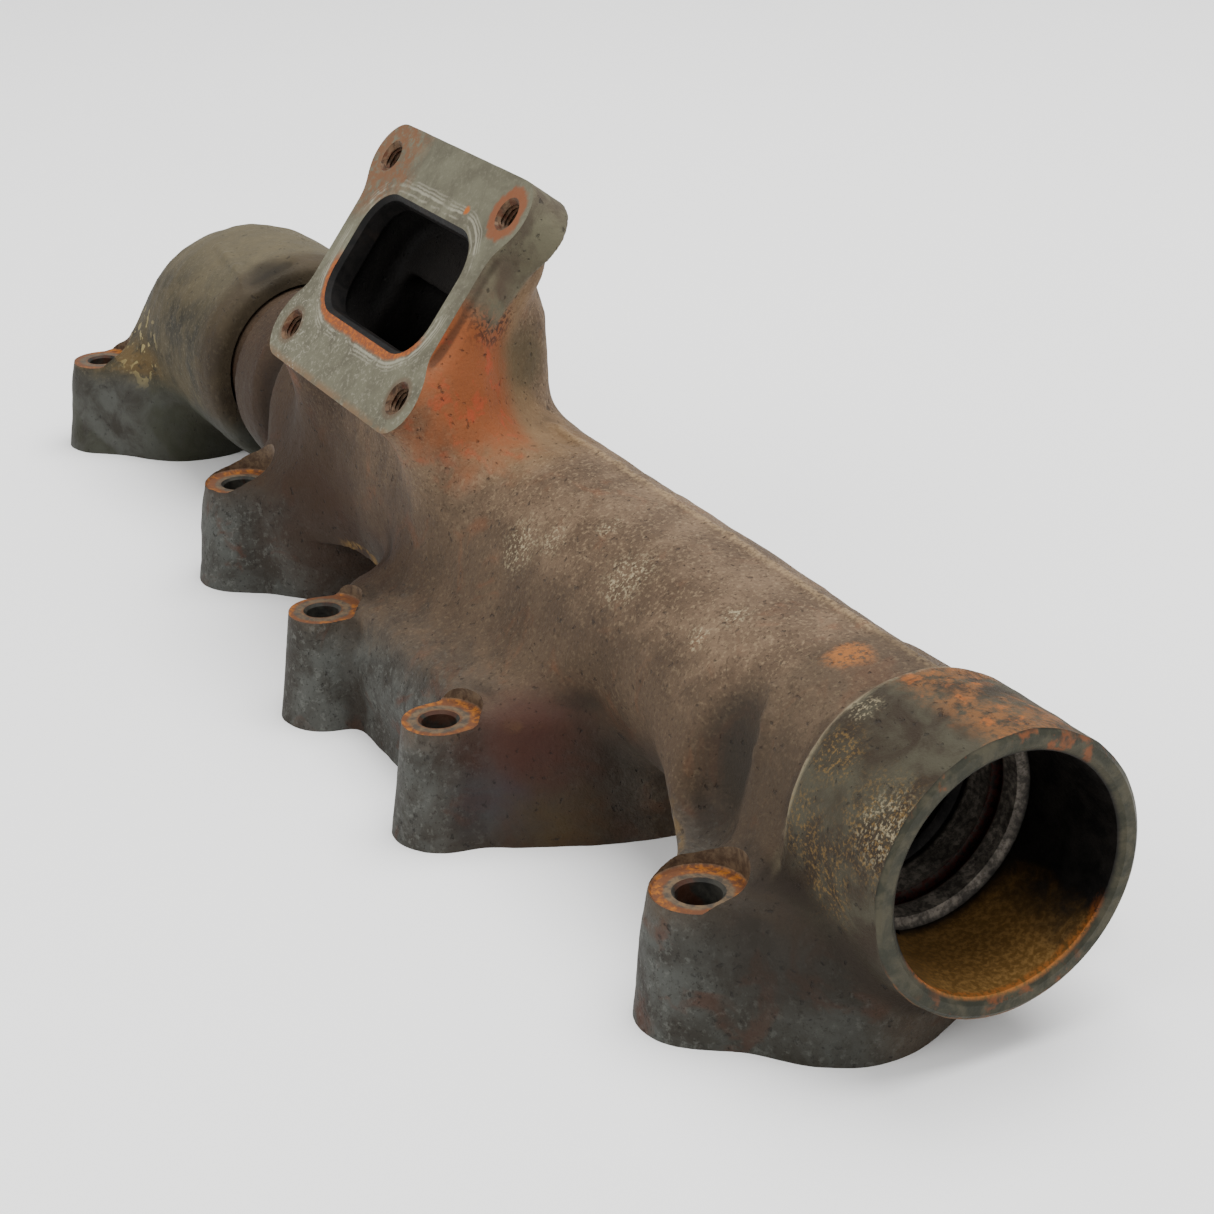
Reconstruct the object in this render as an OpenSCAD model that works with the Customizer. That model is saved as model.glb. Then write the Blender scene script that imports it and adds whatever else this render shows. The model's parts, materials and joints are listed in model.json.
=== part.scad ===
// Sectional cast-iron exhaust manifold for a heavy in-line engine.
// +X runs along the log towards the open socket, +Z points away from the cylinder head.
// The head face is the plane z = 0, and the origin is the centre of the middle port.

/* [Ports] */
// Distance between neighbouring exhaust ports
port_pitch = 170; // [168:1:172]
// Radius of each exhaust port
port_r = 20; // [18:0.5:21]
// Radius of the flange round each port
port_flange_r = 27; // [26.5:0.5:28]

/* [Head bolts] */
// Distance from a port's centre line back to its bolts, along the log
bolt_back = 14; // [13:1:15]
// Distance from the port row to the front bolts of the end ports
bolt_front_y = 32; // [31:1:33]
// Distance from the port row to the front bolts of the middle port
bolt_middle_y = 49; // [48:1:50]
// Distance from the port row to the rear bolts
bolt_rear_y = 76; // [75:1:78]
// Half the distance between the two bolts on each side of the middle port
bolt_middle_half = 46; // [45:0.5:47]
// Height of the bolt seats above the head face
boss_h = 36; // [35:0.5:37]
// Radius of a boss at its seat
boss_top_r = 11; // [11:0.5:12]
// Radius of a boss at the head face
boss_base_r = 15.5; // [15:0.5:16]
// Radius of the bolt holes at the end ports of the centre section
bolt_wide_r = 6.2; // [6:0.1:6.4]
// Radius of the other bolt holes
bolt_r = 5.25; // [5:0.05:5.5]
// Radius of the spot-face cut over each boss
spot_r = 13; // [12.5:0.5:13.5]

/* [Log] */
// Distance of the log's axis behind the port row
log_y = 23.6; // [22:0.2:25]
// Height of the log's axis above the head face
log_z = 52; // [51:0.5:53]
// Outer radius of the log
log_r = 34.5; // [34:0.5:35]
// Radius of the gas passage in the log
log_bore_r = 27; // [26:0.5:27.5]

/* [Open socket] */
// Position of the socket's mouth along the log
socket_x = 212; // [211:1:213]
// Length of the thick collar round the socket
socket_collar_l = 45; // [44:1:46]
// Outer radius of the socket
socket_r = 39; // [38.5:0.5:40]
// Radius of the socket's bore
socket_bore_r = 33; // [32.8:0.1:33.2]
// Depth of the parallel bore behind the mouth
socket_depth = 36; // [34:1:38]

/* [Slip joint] */
// Radius of the spigot inside the elbow's collar
spigot_r = 32.5; // [32.4:0.05:32.6]
// Position of the spigot's end along the log
spigot_end_x = -292; // [-294:1:-290]
// Position of the elbow collar's mouth along the log
collar_x = -252; // [-254:1:-250]
// Outer radius of the elbow's collar
collar_r = 43; // [42.5:0.5:43.5]
// Position of the bead that faces the collar's mouth
bead_x = -220; // [-222:1:-218]
// Radius of the bead
bead_r = 38; // [37:0.5:38.5]
// Width of a sealing ring
ring_w = 4; // [3.5:0.5:4]
// Distance between neighbouring sealing rings
ring_pitch = 8; // [8:0.5:9]
// Gap between a split ring's ends
ring_gap = 1.5; // [1:0.5:2]

/* [Turbocharger flange] */
// Position of the flange along the log
turbo_x = -106; // [-107:1:-105]
// Distance of the flange face's centre behind the port row
turbo_y = 1; // [0:1:2]
// Height of the flange face's centre above the head face
turbo_z = 129.5; // [128:0.5:131]
// Tilt of the flange face from level, towards the front bolts
turbo_tilt = 53; // [52:1:54]
// Distance between the tapped holes along the log
turbo_hole_x = 92.5; // [92:0.5:93]
// Distance between the tapped holes up the face
turbo_hole_y = 67.5; // [67:0.5:68]
// Radius of the tapped holes, the minor radius of an M10 thread
turbo_hole_r = 4.25; // [4.2:0.05:4.3]
// Depth of the tapped holes
turbo_hole_depth = 16; // [15:0.5:16]
// Thickness of the flange plate
turbo_t = 16; // [16:0.5:18]
// Length of the gas opening along the log
turbo_open_x = 78; // [76:1:79]
// Height of the gas opening up the face
turbo_open_y = 43; // [42:1:44]

/* [Hidden] */
$fn = 72;
hull_fn = 32;
eps = 0.1;
wall = 7;
end_ports = [port_pitch, -port_pitch];
elbow_x = -2 * port_pitch;
block_h = 39;
skirt_z = 26;
runner_r = 19;
runner_wall = 7;
runner_z = 18;
hump_z = 120;
neck_y = 18.5;
shoulder_r = 29.5;
body_end_x = -198;
ring_fit = 0.05;
ring_x0 = -268;
ring_in_r = 27.6;
groove_r = 27.2;
groove_side = 0.1;
far_bore_r = 22;
collar_back_x = -315;
taper_x = -344;
taper_r = 33;
elbow_bore_x = -302;
dome = [-334, 21, 44];
dome_r = 38;
port_join = [[port_pitch, -62], [0, -30], [-port_pitch, 26]];

// Frames: the log's axis, and the middle of the turbocharger flange's face
module on_log(x = 0) {
    translate([x, log_y, log_z])
        rotate([0, 90, 0])
            children();
}

module on_turbo_face() {
    translate([turbo_x, turbo_y, turbo_z])
        rotate([turbo_tilt, 0, 0])
            children();
}

// Points of a rectangle with round corners, as an outline
function rounded(w, h, r, steps = 6) = [
    for (c = [[1, 1, 0], [-1, 1, 90], [-1, -1, 180], [1, -1, 270]])
        for (s = [0:steps])
            let (a = c[2] + 90 * s / steps)
                [c[0] * (w / 2 - r) + r * cos(a), c[1] * (h / 2 - r) + r * sin(a)]
];

// The straight-sided web between two round lobes a and b, each [x, y, radius]
module web(a, b) {
    d = norm([b[0] - a[0], b[1] - a[1]]);
    along = atan2(b[1] - a[1], b[0] - a[0]);
    side = acos((a[2] - b[2]) / d);
    polygon([
        [a[0] + a[2] * cos(along + side), a[1] + a[2] * sin(along + side)],
        [b[0] + b[2] * cos(along + side), b[1] + b[2] * sin(along + side)],
        [b[0] + b[2] * cos(along - side), b[1] + b[2] * sin(along - side)],
        [a[0] + a[2] * cos(along - side), a[1] + a[2] * sin(along - side)]
    ]);
}

module boss(x, y) {
    translate([x, y, 0])
        cylinder(h = boss_h, r1 = boss_base_r, r2 = boss_top_r);
}

// What a bolt and its spanner need: the clearance hole and the spot-face over it
module bolt_cut(x, y, r) {
    translate([x, y, -1])
        cylinder(h = boss_h + 2, r = r);
    translate([x, y, boss_h])
        cylinder(h = 60, r = spot_r);
}

// Everything below the head face, which is machined flat
module below_head_face() {
    translate([-500, -200, -60])
        cube([1000, 400, 60]);
}

// A round bar from point p to point q
module bar(p, q, r) {
    d = q - p;
    translate(p)
        rotate([0, acos(d[2] / norm(d)), atan2(d[1], d[0])])
            cylinder(h = norm(d), r = r);
}

// Length of the log, inside its skin, that a skirt of metal grows out of
module log_core(x0, x1) {
    translate([x0, log_y, log_z])
        rotate([0, 90, 0])
            cylinder(h = x1 - x0, r = 28, $fn = hull_fn);
}

// Skirt that runs from behind a boss up to the log between x0 and x1
module boss_skirt(x, y, x0, x1) {
    hull() {
        translate([x, y, skirt_z])
            cylinder(h = block_h - skirt_z, r = boss_top_r - 0.5, $fn = hull_fn);
        log_core(x0, x1);
    }
}

// Skirt that runs from the straight wall between two bosses up to the log
module wall_skirt(y, x0, x1) {
    depth = 6;
    hull() {
        translate([-bolt_back - bolt_middle_half, y - depth / 2, 10])
            cube([2 * bolt_middle_half, depth, block_h - 10]);
        log_core(x0, x1);
    }
}

// Flange of a port that has one bolt in front and one behind
module two_bolt_flange(x) {
    front = [x - bolt_back, -bolt_front_y, boss_top_r + 1];
    rear = [x - bolt_back, bolt_rear_y, boss_top_r + 1];
    middle = [x, 0, port_flange_r - 0.2];
    translate([x, 0, 0])
        cylinder(h = block_h, r = port_flange_r);
    boss(front[0], front[1]);
    boss(rear[0], rear[1]);
    linear_extrude(block_h)
        web(front, middle);
    linear_extrude(block_h)
        web(rear, middle);
}

// Wide flange of the middle port, with two bolts in front and two behind
module four_bolt_flange() {
    half_w = 84;
    side_y0 = 0;
    side_y1 = 27;
    inset = 6;
    left = -bolt_back - bolt_middle_half;
    right = -bolt_back + bolt_middle_half;
    linear_extrude(block_h)
        polygon([
            [left - 12, -bolt_middle_y + inset],
            [right + 12, -bolt_middle_y + inset],
            [-bolt_back + half_w, side_y0],
            [-bolt_back + half_w, side_y1],
            [right + 12, bolt_rear_y - inset],
            [left - 12, bolt_rear_y - inset],
            [-bolt_back - half_w, side_y1],
            [-bolt_back - half_w, side_y0]
        ]);
    for (x = [left, right], y = [-bolt_middle_y, bolt_rear_y])
        boss(x, y);
}

// Outside of the log, turned about its axis: spigot, bead, body and socket collar
module log_outside() {
    on_log()
        rotate_extrude()
            polygon([
                [0, spigot_end_x],
                [spigot_r - 2, spigot_end_x],
                [spigot_r, spigot_end_x + 3],
                [spigot_r, collar_x + 10],
                [spigot_r + 1, collar_x + 12],
                [spigot_r + 1, bead_x - 10],
                [bead_r - 1, bead_x - 5],
                [bead_r, bead_x],
                [bead_r - 1, bead_x + 5],
                [spigot_r + 1, bead_x + 10],
                [spigot_r + 1.5, body_end_x - 8],
                [log_r, body_end_x],
                [log_r, socket_x - socket_collar_l - 5],
                [socket_r - 1, socket_x - socket_collar_l],
                [socket_r, socket_x - socket_collar_l + 2],
                [socket_r, socket_x - 1.5],
                [socket_r - 1.5, socket_x],
                [0, socket_x]
            ]);
}

// Gas passage of the log and the stepped bore of its socket
module log_inside() {
    step_x = socket_x - socket_depth;
    on_log()
        rotate_extrude()
            polygon([
                [0, spigot_end_x - 1],
                [far_bore_r, spigot_end_x - 1],
                [far_bore_r, body_end_x - 20],
                [log_bore_r, body_end_x + 10],
                [log_bore_r, step_x - 18],
                [shoulder_r, step_x - 18],
                [shoulder_r, step_x - 10],
                [shoulder_r + 1.6, step_x - 10],
                [shoulder_r + 1.6, step_x - 6],
                [shoulder_r, step_x - 6],
                [shoulder_r, step_x],
                [socket_bore_r, step_x],
                [socket_bore_r, socket_x - 1.5],
                [socket_bore_r + 1.5, socket_x + eps],
                [0, socket_x + eps]
            ]);
}

module turbo_flange() {
    lug_r = 12.3;
    on_turbo_face()
        translate([0, 0, -turbo_t])
            linear_extrude(turbo_t) {
                square([turbo_hole_x, turbo_hole_y + 2 * lug_r - 0.4], center = true);
                square([turbo_hole_x + 12, turbo_hole_y], center = true);
                for (sx = [-1, 1], sy = [-1, 1])
                    translate([sx * turbo_hole_x / 2, sy * turbo_hole_y / 2])
                        circle(r = lug_r);
            }
}

// Box-shaped neck between the turbocharger flange and the log
module turbo_neck() {
    box_x = turbo_open_x + 2 * wall;
    corner_r = 14;
    hull() {
        on_turbo_face()
            translate([0, 0, -turbo_t - 2])
                linear_extrude(3)
                    polygon(rounded(box_x, turbo_open_y + 20, corner_r));
        translate([turbo_x, neck_y, hump_z - 4])
            linear_extrude(4)
                polygon(rounded(box_x - 2, 44, corner_r));
        translate([turbo_x, neck_y, log_z])
            linear_extrude(20)
                polygon(rounded(box_x + 6, 46, corner_r + 2));
    }
}

// Gas passage of the neck: straight in from the face, then down into the log
module turbo_inside() {
    on_turbo_face()
        translate([0, 0, -24])
            linear_extrude(25)
                polygon(rounded(turbo_open_x, turbo_open_y, 13));
    translate([turbo_x, neck_y, log_z])
        linear_extrude(hump_z - log_z - 4)
            polygon(rounded(turbo_open_x, 31, 13));
}

module turbo_holes() {
    on_turbo_face()
        for (sx = [-1, 1], sy = [-1, 1])
            translate([sx * turbo_hole_x / 2, sy * turbo_hole_y / 2, -turbo_hole_depth])
                cylinder(h = turbo_hole_depth + 1, r = turbo_hole_r);
}

// Grooves in the spigot that hold the sealing rings
module ring_grooves() {
    for (i = [0:2])
        on_log(ring_x0 - i * ring_pitch - groove_side)
            difference() {
                cylinder(h = ring_w + 2 * groove_side, r = spigot_r + 2);
                translate([0, 0, -1])
                    cylinder(h = ring_w + 2, r = groove_r);
            }
}

module centre_section() {
    color([0.36, 0.32, 0.28])
        difference() {
            union() {
                log_outside();
                for (x = end_ports)
                    two_bolt_flange(x);
                four_bolt_flange();
                for (p = port_join)
                    bar([p[0], 0, runner_z], [p[0] + p[1], log_y, log_z], runner_r + runner_wall);
                boss_skirt(port_pitch - bolt_back, -bolt_front_y, 42, 138);
                boss_skirt(-port_pitch - bolt_back, -bolt_front_y, -196, -112);
                wall_skirt(-bolt_middle_y + 9, -80, 62);
                boss_skirt(port_pitch - bolt_back, bolt_rear_y, 110, 150);
                boss_skirt(-port_pitch - bolt_back, bolt_rear_y, -196, -160);
                wall_skirt(bolt_rear_y - 9, -70, 42);
                turbo_flange();
                turbo_neck();
            }
            below_head_face();
            log_inside();
            turbo_inside();
            turbo_holes();
            ring_grooves();
            for (p = port_join) {
                translate([p[0], 0, -1])
                    cylinder(h = runner_z + 1, r = port_r);
                bar([p[0], 0, runner_z], [p[0] + p[1], log_y, log_z], runner_r);
            }
            for (x = end_ports, y = [-bolt_front_y, bolt_rear_y])
                bolt_cut(x - bolt_back, y, bolt_wide_r);
            for (s = [-1, 1], y = [-bolt_middle_y, bolt_rear_y])
                bolt_cut(-bolt_back + s * bolt_middle_half, y, bolt_r);
        }
}

// Elbow of the last port: a collar over the spigot, bent down to its own head flange
module elbow_section() {
    color([0.34, 0.34, 0.28])
        difference() {
            union() {
                on_log(collar_back_x)
                    cylinder(h = collar_x - collar_back_x - 1.5, r = collar_r);
                on_log(collar_x - 1.6)
                    cylinder(h = 1.6, r1 = collar_r, r2 = collar_r - 1.5);
                on_log(taper_x)
                    cylinder(h = collar_back_x - taper_x, r1 = taper_r, r2 = collar_r);
                translate(dome)
                    sphere(r = dome_r);
                two_bolt_flange(elbow_x);
                bar([elbow_x, 0, runner_z], dome, runner_r + runner_wall + 4);
                for (y = [-bolt_front_y, bolt_rear_y])
                    hull() {
                        translate([elbow_x - bolt_back, y, skirt_z])
                            cylinder(h = block_h - skirt_z, r = boss_top_r - 0.5, $fn = hull_fn);
                        translate(dome)
                            sphere(r = dome_r - 15, $fn = hull_fn);
                    }
            }
            below_head_face();
            on_log(elbow_bore_x)
                cylinder(h = collar_x - elbow_bore_x + 1, r = socket_bore_r);
            on_log(dome[0])
                cylinder(h = elbow_bore_x - dome[0] + 1, r = log_bore_r);
            translate(dome)
                sphere(r = dome_r - 9);
            translate([elbow_x, 0, -1])
                cylinder(h = runner_z + 1, r = port_r);
            bar([elbow_x, 0, runner_z], dome, runner_r);
            for (y = [-bolt_front_y, bolt_rear_y])
                bolt_cut(elbow_x - bolt_back, y, bolt_r);
        }
}

// Split sealing ring number i, counted from the collar's mouth inwards
module seal_ring(i) {
    color([0.45, 0.42, 0.4])
        on_log(ring_x0 - i * ring_pitch)
            difference() {
                cylinder(h = ring_w, r = socket_bore_r - ring_fit);
                translate([0, 0, -1])
                    cylinder(h = ring_w + 2, r = ring_in_r);
                rotate([0, 0, 120 * i])
                    translate([ring_in_r - 2, -ring_gap / 2, -1])
                        cube([10, ring_gap, ring_w + 2]);
            }
}

centre_section();
elbow_section();
seal_ring(0);  // seal_ring_1
seal_ring(1);  // seal_ring_2
seal_ring(2);  // seal_ring_3
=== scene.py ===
"""Sectional cast-iron exhaust manifold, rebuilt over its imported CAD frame.

The two castings are modelled as signed distances on a grid, so that every join
gets a true cast fillet, and are then cut to their machined faces and holes.
Shapes are worked out in millimetres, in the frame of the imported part.
"""

import json
import math

import bpy
import numpy as np
from mathutils import Matrix, Vector


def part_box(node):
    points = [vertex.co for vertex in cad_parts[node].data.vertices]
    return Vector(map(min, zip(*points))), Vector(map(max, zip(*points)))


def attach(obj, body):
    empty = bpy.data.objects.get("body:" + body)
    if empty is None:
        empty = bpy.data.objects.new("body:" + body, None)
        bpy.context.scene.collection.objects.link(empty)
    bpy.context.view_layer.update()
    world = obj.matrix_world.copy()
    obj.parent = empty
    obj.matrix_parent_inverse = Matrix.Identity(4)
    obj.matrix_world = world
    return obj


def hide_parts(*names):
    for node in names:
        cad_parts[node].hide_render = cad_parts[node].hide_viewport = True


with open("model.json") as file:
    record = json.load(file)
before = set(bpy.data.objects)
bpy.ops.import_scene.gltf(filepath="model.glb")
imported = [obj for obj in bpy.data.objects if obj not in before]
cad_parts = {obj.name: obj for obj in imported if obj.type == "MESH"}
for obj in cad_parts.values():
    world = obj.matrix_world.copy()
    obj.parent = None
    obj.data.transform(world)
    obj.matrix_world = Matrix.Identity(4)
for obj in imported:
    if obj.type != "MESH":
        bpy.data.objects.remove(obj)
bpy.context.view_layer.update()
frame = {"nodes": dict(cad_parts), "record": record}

MM = 0.001
STEP = 1.3      # grid pitch of the casting fields

# ---------------------------------------------------------------- frame values
mounts = {m["name"]: m for m in frame["record"]["mounts"]}


def place(name):
    return np.array(mounts[name]["pos_m"]) / MM


def dims(name):
    return mounts[name]["dims"]


PORTS = [place("port_%d" % i) for i in (1, 2, 3, 4)]
PORT_R = dims("port_1")["r_mm"]
LOG_Y, LOG_Z = place("near_socket")[1:]
SOCKET_R = dims("near_socket")["r_mm"]
LOG_R = 34.5
BORE_R = 27.0
BELL_R = 39.0
COLLAR_R = 43.0
MOUTH_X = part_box("centre_section")[1][0] / MM
SPIGOT_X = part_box("centre_section")[0][0] / MM
COLLAR_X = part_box("elbow_section")[1][0] / MM
BEAD_X = COLLAR_X + 32
BODY_X = COLLAR_X + 54
BELL_X = MOUTH_X - 45
STEP_X = MOUTH_X - 36                  # bottom of the open socket's wide part
SPIGOT_BORE_R = 22.0
SEAT_Z = 36.0
BLOCK_Z = 39.0
BOSS_R = 11.0
DRAFT = 4.5
SPOT_R = 13.0
SPIGOT_R = 32.5
DOME = np.array([PORTS[0][0] + 6, LOG_Y - 2.6, LOG_Z - 8])
DOME_R = 38.0


def bolts(name):
    """Holes of one bolt pattern as (x, y, radius)."""
    c, d = place(name), dims(name)
    xs = [0] if "spacing_x_mm" not in d else [-d["spacing_x_mm"] / 2, d["spacing_x_mm"] / 2]
    ys = [-d["spacing_y_mm"] / 2, d["spacing_y_mm"] / 2]
    return [(c[0] + x, c[1] + y, d["hole_r_mm"]) for x in xs for y in ys]


END_BOLTS = bolts("end_bolts")
MIDDLE_BOLTS = bolts("middle_bolts")
ELBOW_BOLTS = bolts("elbow_bolts")

RING_XS = [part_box("seal_ring_%d" % i)[0][0] / MM for i in (1, 2, 3)]

# Turbocharger face: its middle, its normal, and the direction up the face
TURBO_HOLES = [place("turbo_bolt_%d" % i) for i in (1, 2, 3, 4)]
TURBO_N = np.array(mounts["turbo_face"]["axis"])
TURBO_V = np.array([0.0, TURBO_N[2], -TURBO_N[1]])
HOLE_DEPTH = 8.0                       # the mounts of the tapped holes lie this far below the face
TURBO_C = sum(TURBO_HOLES) / 4 + TURBO_N * HOLE_DEPTH
TURBO_DX = (TURBO_HOLES[1] - TURBO_HOLES[0])[0] / 2
TURBO_DV = float((TURBO_HOLES[2] - TURBO_HOLES[0]) @ TURBO_V) / 2
TURBO_T = 16.0
OPEN_X, OPEN_V = 78.0, 43.0
LUG_R = 12.3
HOLE_R = dims("turbo_bolt_1")["r_mm"]


# ---------------------------------------------------------------- noise
CORNERS = [(dx, dy, dz) for dx in (0, 1) for dy in (0, 1) for dz in (0, 1)]


def lattice(seed, cells=32):
    return np.random.RandomState(seed).rand(cells, cells, cells).astype(np.float32) * 2 - 1


def blend_corners(grid, cell, f):
    """Value between the eight grid points round each cell, at the fractions f."""
    out = 0
    for d in CORNERS:
        w = 1
        for axis in range(3):
            w = w * (f[:, axis] if d[axis] else 1 - f[:, axis])
        at = [(cell[:, axis] + d[axis]) % grid.shape[axis] for axis in range(3)]
        out = out + w * grid[tuple(at)]
    return out


def noise(p, scale, seed):
    """Smooth value noise in -1..1 at the points p, with features about scale mm wide."""
    q = p / scale
    cell = np.floor(q).astype(int)
    f = q - cell
    return blend_corners(lattice(seed), cell, f * f * (3 - 2 * f))


# ---------------------------------------------------------------- distance fields
def smin(a, b, k):
    if k <= 0:
        return np.minimum(a, b)
    h = np.maximum(k - np.abs(a - b), 0) / k
    return np.minimum(a, b) - h * h * k / 4


def smax(a, b, k):
    return -smin(-a, -b, k)


def bar(p, q, r0, r1=None):
    """Round bar from p to q, with round ends."""
    p, d = np.array(p, float), np.array(q, float) - p
    r1 = r0 if r1 is None else r1

    def f(x, y, z):
        t = np.clip(((x - p[0]) * d[0] + (y - p[1]) * d[1] + (z - p[2]) * d[2]) / (d @ d), 0, 1)
        return np.sqrt(
            (x - p[0] - t * d[0]) ** 2 + (y - p[1] - t * d[1]) ** 2 + (z - p[2] - t * d[2]) ** 2
        ) - (r0 + (r1 - r0) * t)

    return f


def turned(profile, edge=1.0):
    """Body of revolution about the log's axis, from (x, radius) points."""
    xs, rs = zip(*profile)

    def f(x, y, z):
        r = np.sqrt((y - LOG_Y) ** 2 + (z - LOG_Z) ** 2)
        side = r - np.interp(x, xs, rs)
        return smax(side, np.maximum(xs[0] - x, x - xs[-1]), edge)

    return f


def skirt(a, b, edge=14.0):
    """Hull of two round bars along X, each (x0, x1, y, z, radius)."""

    def f(x, y, z):
        dy, dz = b[2] - a[2], b[3] - a[3]
        t = np.clip(((y - a[2]) * dy + (z - a[3]) * dz) / (dy * dy + dz * dz), 0, 1)
        r = a[4] + (b[4] - a[4]) * t
        side = np.sqrt((y - a[2] - t * dy) ** 2 + (z - a[3] - t * dz) ** 2) - r
        ends = np.maximum(a[0] + (b[0] - a[0]) * t - x, x - a[1] - (b[1] - a[1]) * t)
        return smax(side, ends, edge)

    return f


def lobes(x, y, a, b):
    """Outline round two lobes, each (x, y, radius), with straight sides between."""
    dx, dy = b[0] - a[0], b[1] - a[1]
    d = math.hypot(dx, dy)
    ux, uy = dx / d, dy / d
    along = (x - a[0]) * ux + (y - a[1]) * uy
    across = np.abs((x - a[0]) * uy - (y - a[1]) * ux)
    s = (a[2] - b[2]) / d
    c = math.sqrt(1 - s * s)
    k = along * c + across * -s
    near = np.sqrt(along**2 + across**2) - a[2]
    far = np.sqrt((along - d) ** 2 + across**2) - b[2]
    flat = along * s + across * c - a[2]
    return np.where(k < 0, near, np.where(k > d * c, far, flat))


def polygon(x, y, points):
    """Distance to a convex outline whose points run anticlockwise."""
    out = None
    for (x0, y0), (x1, y1) in zip(points, points[1:] + points[:1]):
        n = math.hypot(x1 - x0, y1 - y0)
        side = ((y1 - y0) * (x - x0) - (x1 - x0) * (y - y0)) / n
        out = side if out is None else smax(out, side, 10.0)
    return out


def block(outline, top=BLOCK_Z, edge=5.0):
    """Drafted upright block that starts below the head face."""

    def f(x, y, z):
        out = outline(x, y) - DRAFT * (1 - z / SEAT_Z)
        return smax(out, z - top, edge)

    return f


def boss(x, y):
    return block(lambda px, py: np.sqrt((px - x) ** 2 + (py - y) ** 2) - BOSS_R, SEAT_Z + 4, 1.0)


def two_bolt(port, holes):
    middle = (port[0], 0.0, 23.0)

    def outline(x, y):
        parts = [lobes(x, y, (h[0], h[1], BOSS_R + 0.5), middle) for h in holes]
        return smin(parts[0], parts[1], 6.0)

    return outline


class Field:
    """Distances in mm on a regular grid, negative inside the metal."""

    def __init__(self, low, high):
        self.low = np.array(low, float)
        shape = np.ceil((np.array(high) - self.low) / STEP).astype(int) + 1
        self.d = np.full(shape, 1e3, np.float32)
        self.gas = None

    def region(self, low, high):
        a = np.clip(np.floor((np.array(low, float) - self.low) / STEP).astype(int), 0, self.d.shape)
        b = np.clip(np.ceil((np.array(high, float) - self.low) / STEP).astype(int) + 1, 0, self.d.shape)
        axes = [self.low[i] + STEP * np.arange(a[i], b[i]) for i in range(3)]
        return tuple(slice(a[i], b[i]) for i in range(3)), np.meshgrid(*axes, indexing="ij", sparse=True)

    def add(self, shape, low, high, blend=0.0):
        part, xyz = self.region(np.array(low) - blend - 4, np.array(high) + blend + 4)
        self.d[part] = smin(self.d[part], shape(*xyz), blend)

    def cut(self, shape, low, high, blend=0.0):
        part, xyz = self.region(np.array(low) - blend - 4, np.array(high) + blend + 4)
        self.d[part] = smax(self.d[part], -shape(*xyz), blend)

    def sample(self, p):
        q = np.clip((p - self.low) / STEP, 0, np.array(self.d.shape) - 1.001)
        cell = np.floor(q).astype(int)
        return blend_corners(self.d, cell, q - cell)

    def slope(self, p, e=0.8):
        g = np.stack([
            self.sample(p + np.eye(3)[i] * e) - self.sample(p - np.eye(3)[i] * e) for i in range(3)
        ], 1)
        return g / np.maximum(np.linalg.norm(g, axis=1, keepdims=True), 1e-6)

    def surface(self):
        """Quads of the zero surface: one point per crossed cell, joined across crossed edges."""
        d = self.d
        for side in (d[0], d[-1], d[:, 0], d[:, -1], d[:, :, 0], d[:, :, -1]):
            np.maximum(side, STEP / 2, out=side)
        n = np.array(d.shape)
        inside = d < 0
        count = np.zeros(n - 1, np.int8)
        for c in CORNERS:
            count += inside[c[0]:n[0] - 1 + c[0], c[1]:n[1] - 1 + c[1], c[2]:n[2] - 1 + c[2]]
        cell = np.argwhere((count > 0) & (count < 8))
        index = np.full(n - 1, -1, np.int64)
        index[tuple(cell.T)] = np.arange(len(cell))
        value = np.stack([d[tuple((cell + np.array(c)).T)] for c in CORNERS], 1)
        total = np.zeros((len(cell), 3))
        hits = np.zeros(len(cell))
        for a in range(8):
            for b in range(a + 1, 8):
                step = np.array(CORNERS[b]) - np.array(CORNERS[a])
                if abs(step).sum() != 1:
                    continue
                crossed = (value[:, a] < 0) != (value[:, b] < 0)
                t = value[:, a] / np.where(crossed, value[:, a] - value[:, b], 1)
                total += crossed[:, None] * (np.array(CORNERS[a]) + t[:, None] * step)
                hits += crossed
        points = self.low + STEP * (cell + total / hits[:, None])
        for _ in range(2):
            points -= (self.sample(points)[:, None] * self.slope(points)).clip(-STEP / 2, STEP / 2)
        faces = []
        for axis in range(3):
            one = np.eye(3, dtype=int)
            u, v = one[(axis + 1) % 3], one[(axis + 2) % 3]
            low = np.take(inside, range(n[axis] - 1), axis)
            high = np.take(inside, range(1, n[axis]), axis)
            edge = np.argwhere(low != high)
            for side in ((axis + 1) % 3, (axis + 2) % 3):
                edge = edge[(edge[:, side] > 0) & (edge[:, side] < n[side] - 1)]
            out = low[tuple(edge.T)]
            quad = np.stack([index[tuple((edge - o).T)] for o in (0 * u, u, u + v, v)], 1)
            quad[out] = quad[out][:, ::-1]
            faces.append(quad[:, ::-1])
        return points, np.concatenate(faces)


# ---------------------------------------------------------------- meshes
def mesh_object(name, points, faces, material=None):
    mesh = bpy.data.meshes.new(name)
    mesh.vertices.add(len(points))
    mesh.vertices.foreach_set("co", (np.asarray(points, float) * MM).ravel())
    loops = np.concatenate([np.asarray(f) for f in faces])
    sizes = np.array([len(f) for f in faces])
    mesh.loops.add(len(loops))
    mesh.loops.foreach_set("vertex_index", loops)
    mesh.polygons.add(len(sizes))
    mesh.polygons.foreach_set("loop_start", np.concatenate([[0], np.cumsum(sizes)[:-1]]))
    mesh.polygons.foreach_set("loop_total", sizes)
    mesh.update(calc_edges=True)
    mesh.validate()
    obj = bpy.data.objects.new(name, mesh)
    bpy.context.scene.collection.objects.link(obj)
    if material:
        mesh.materials.append(material)
    return obj


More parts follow.
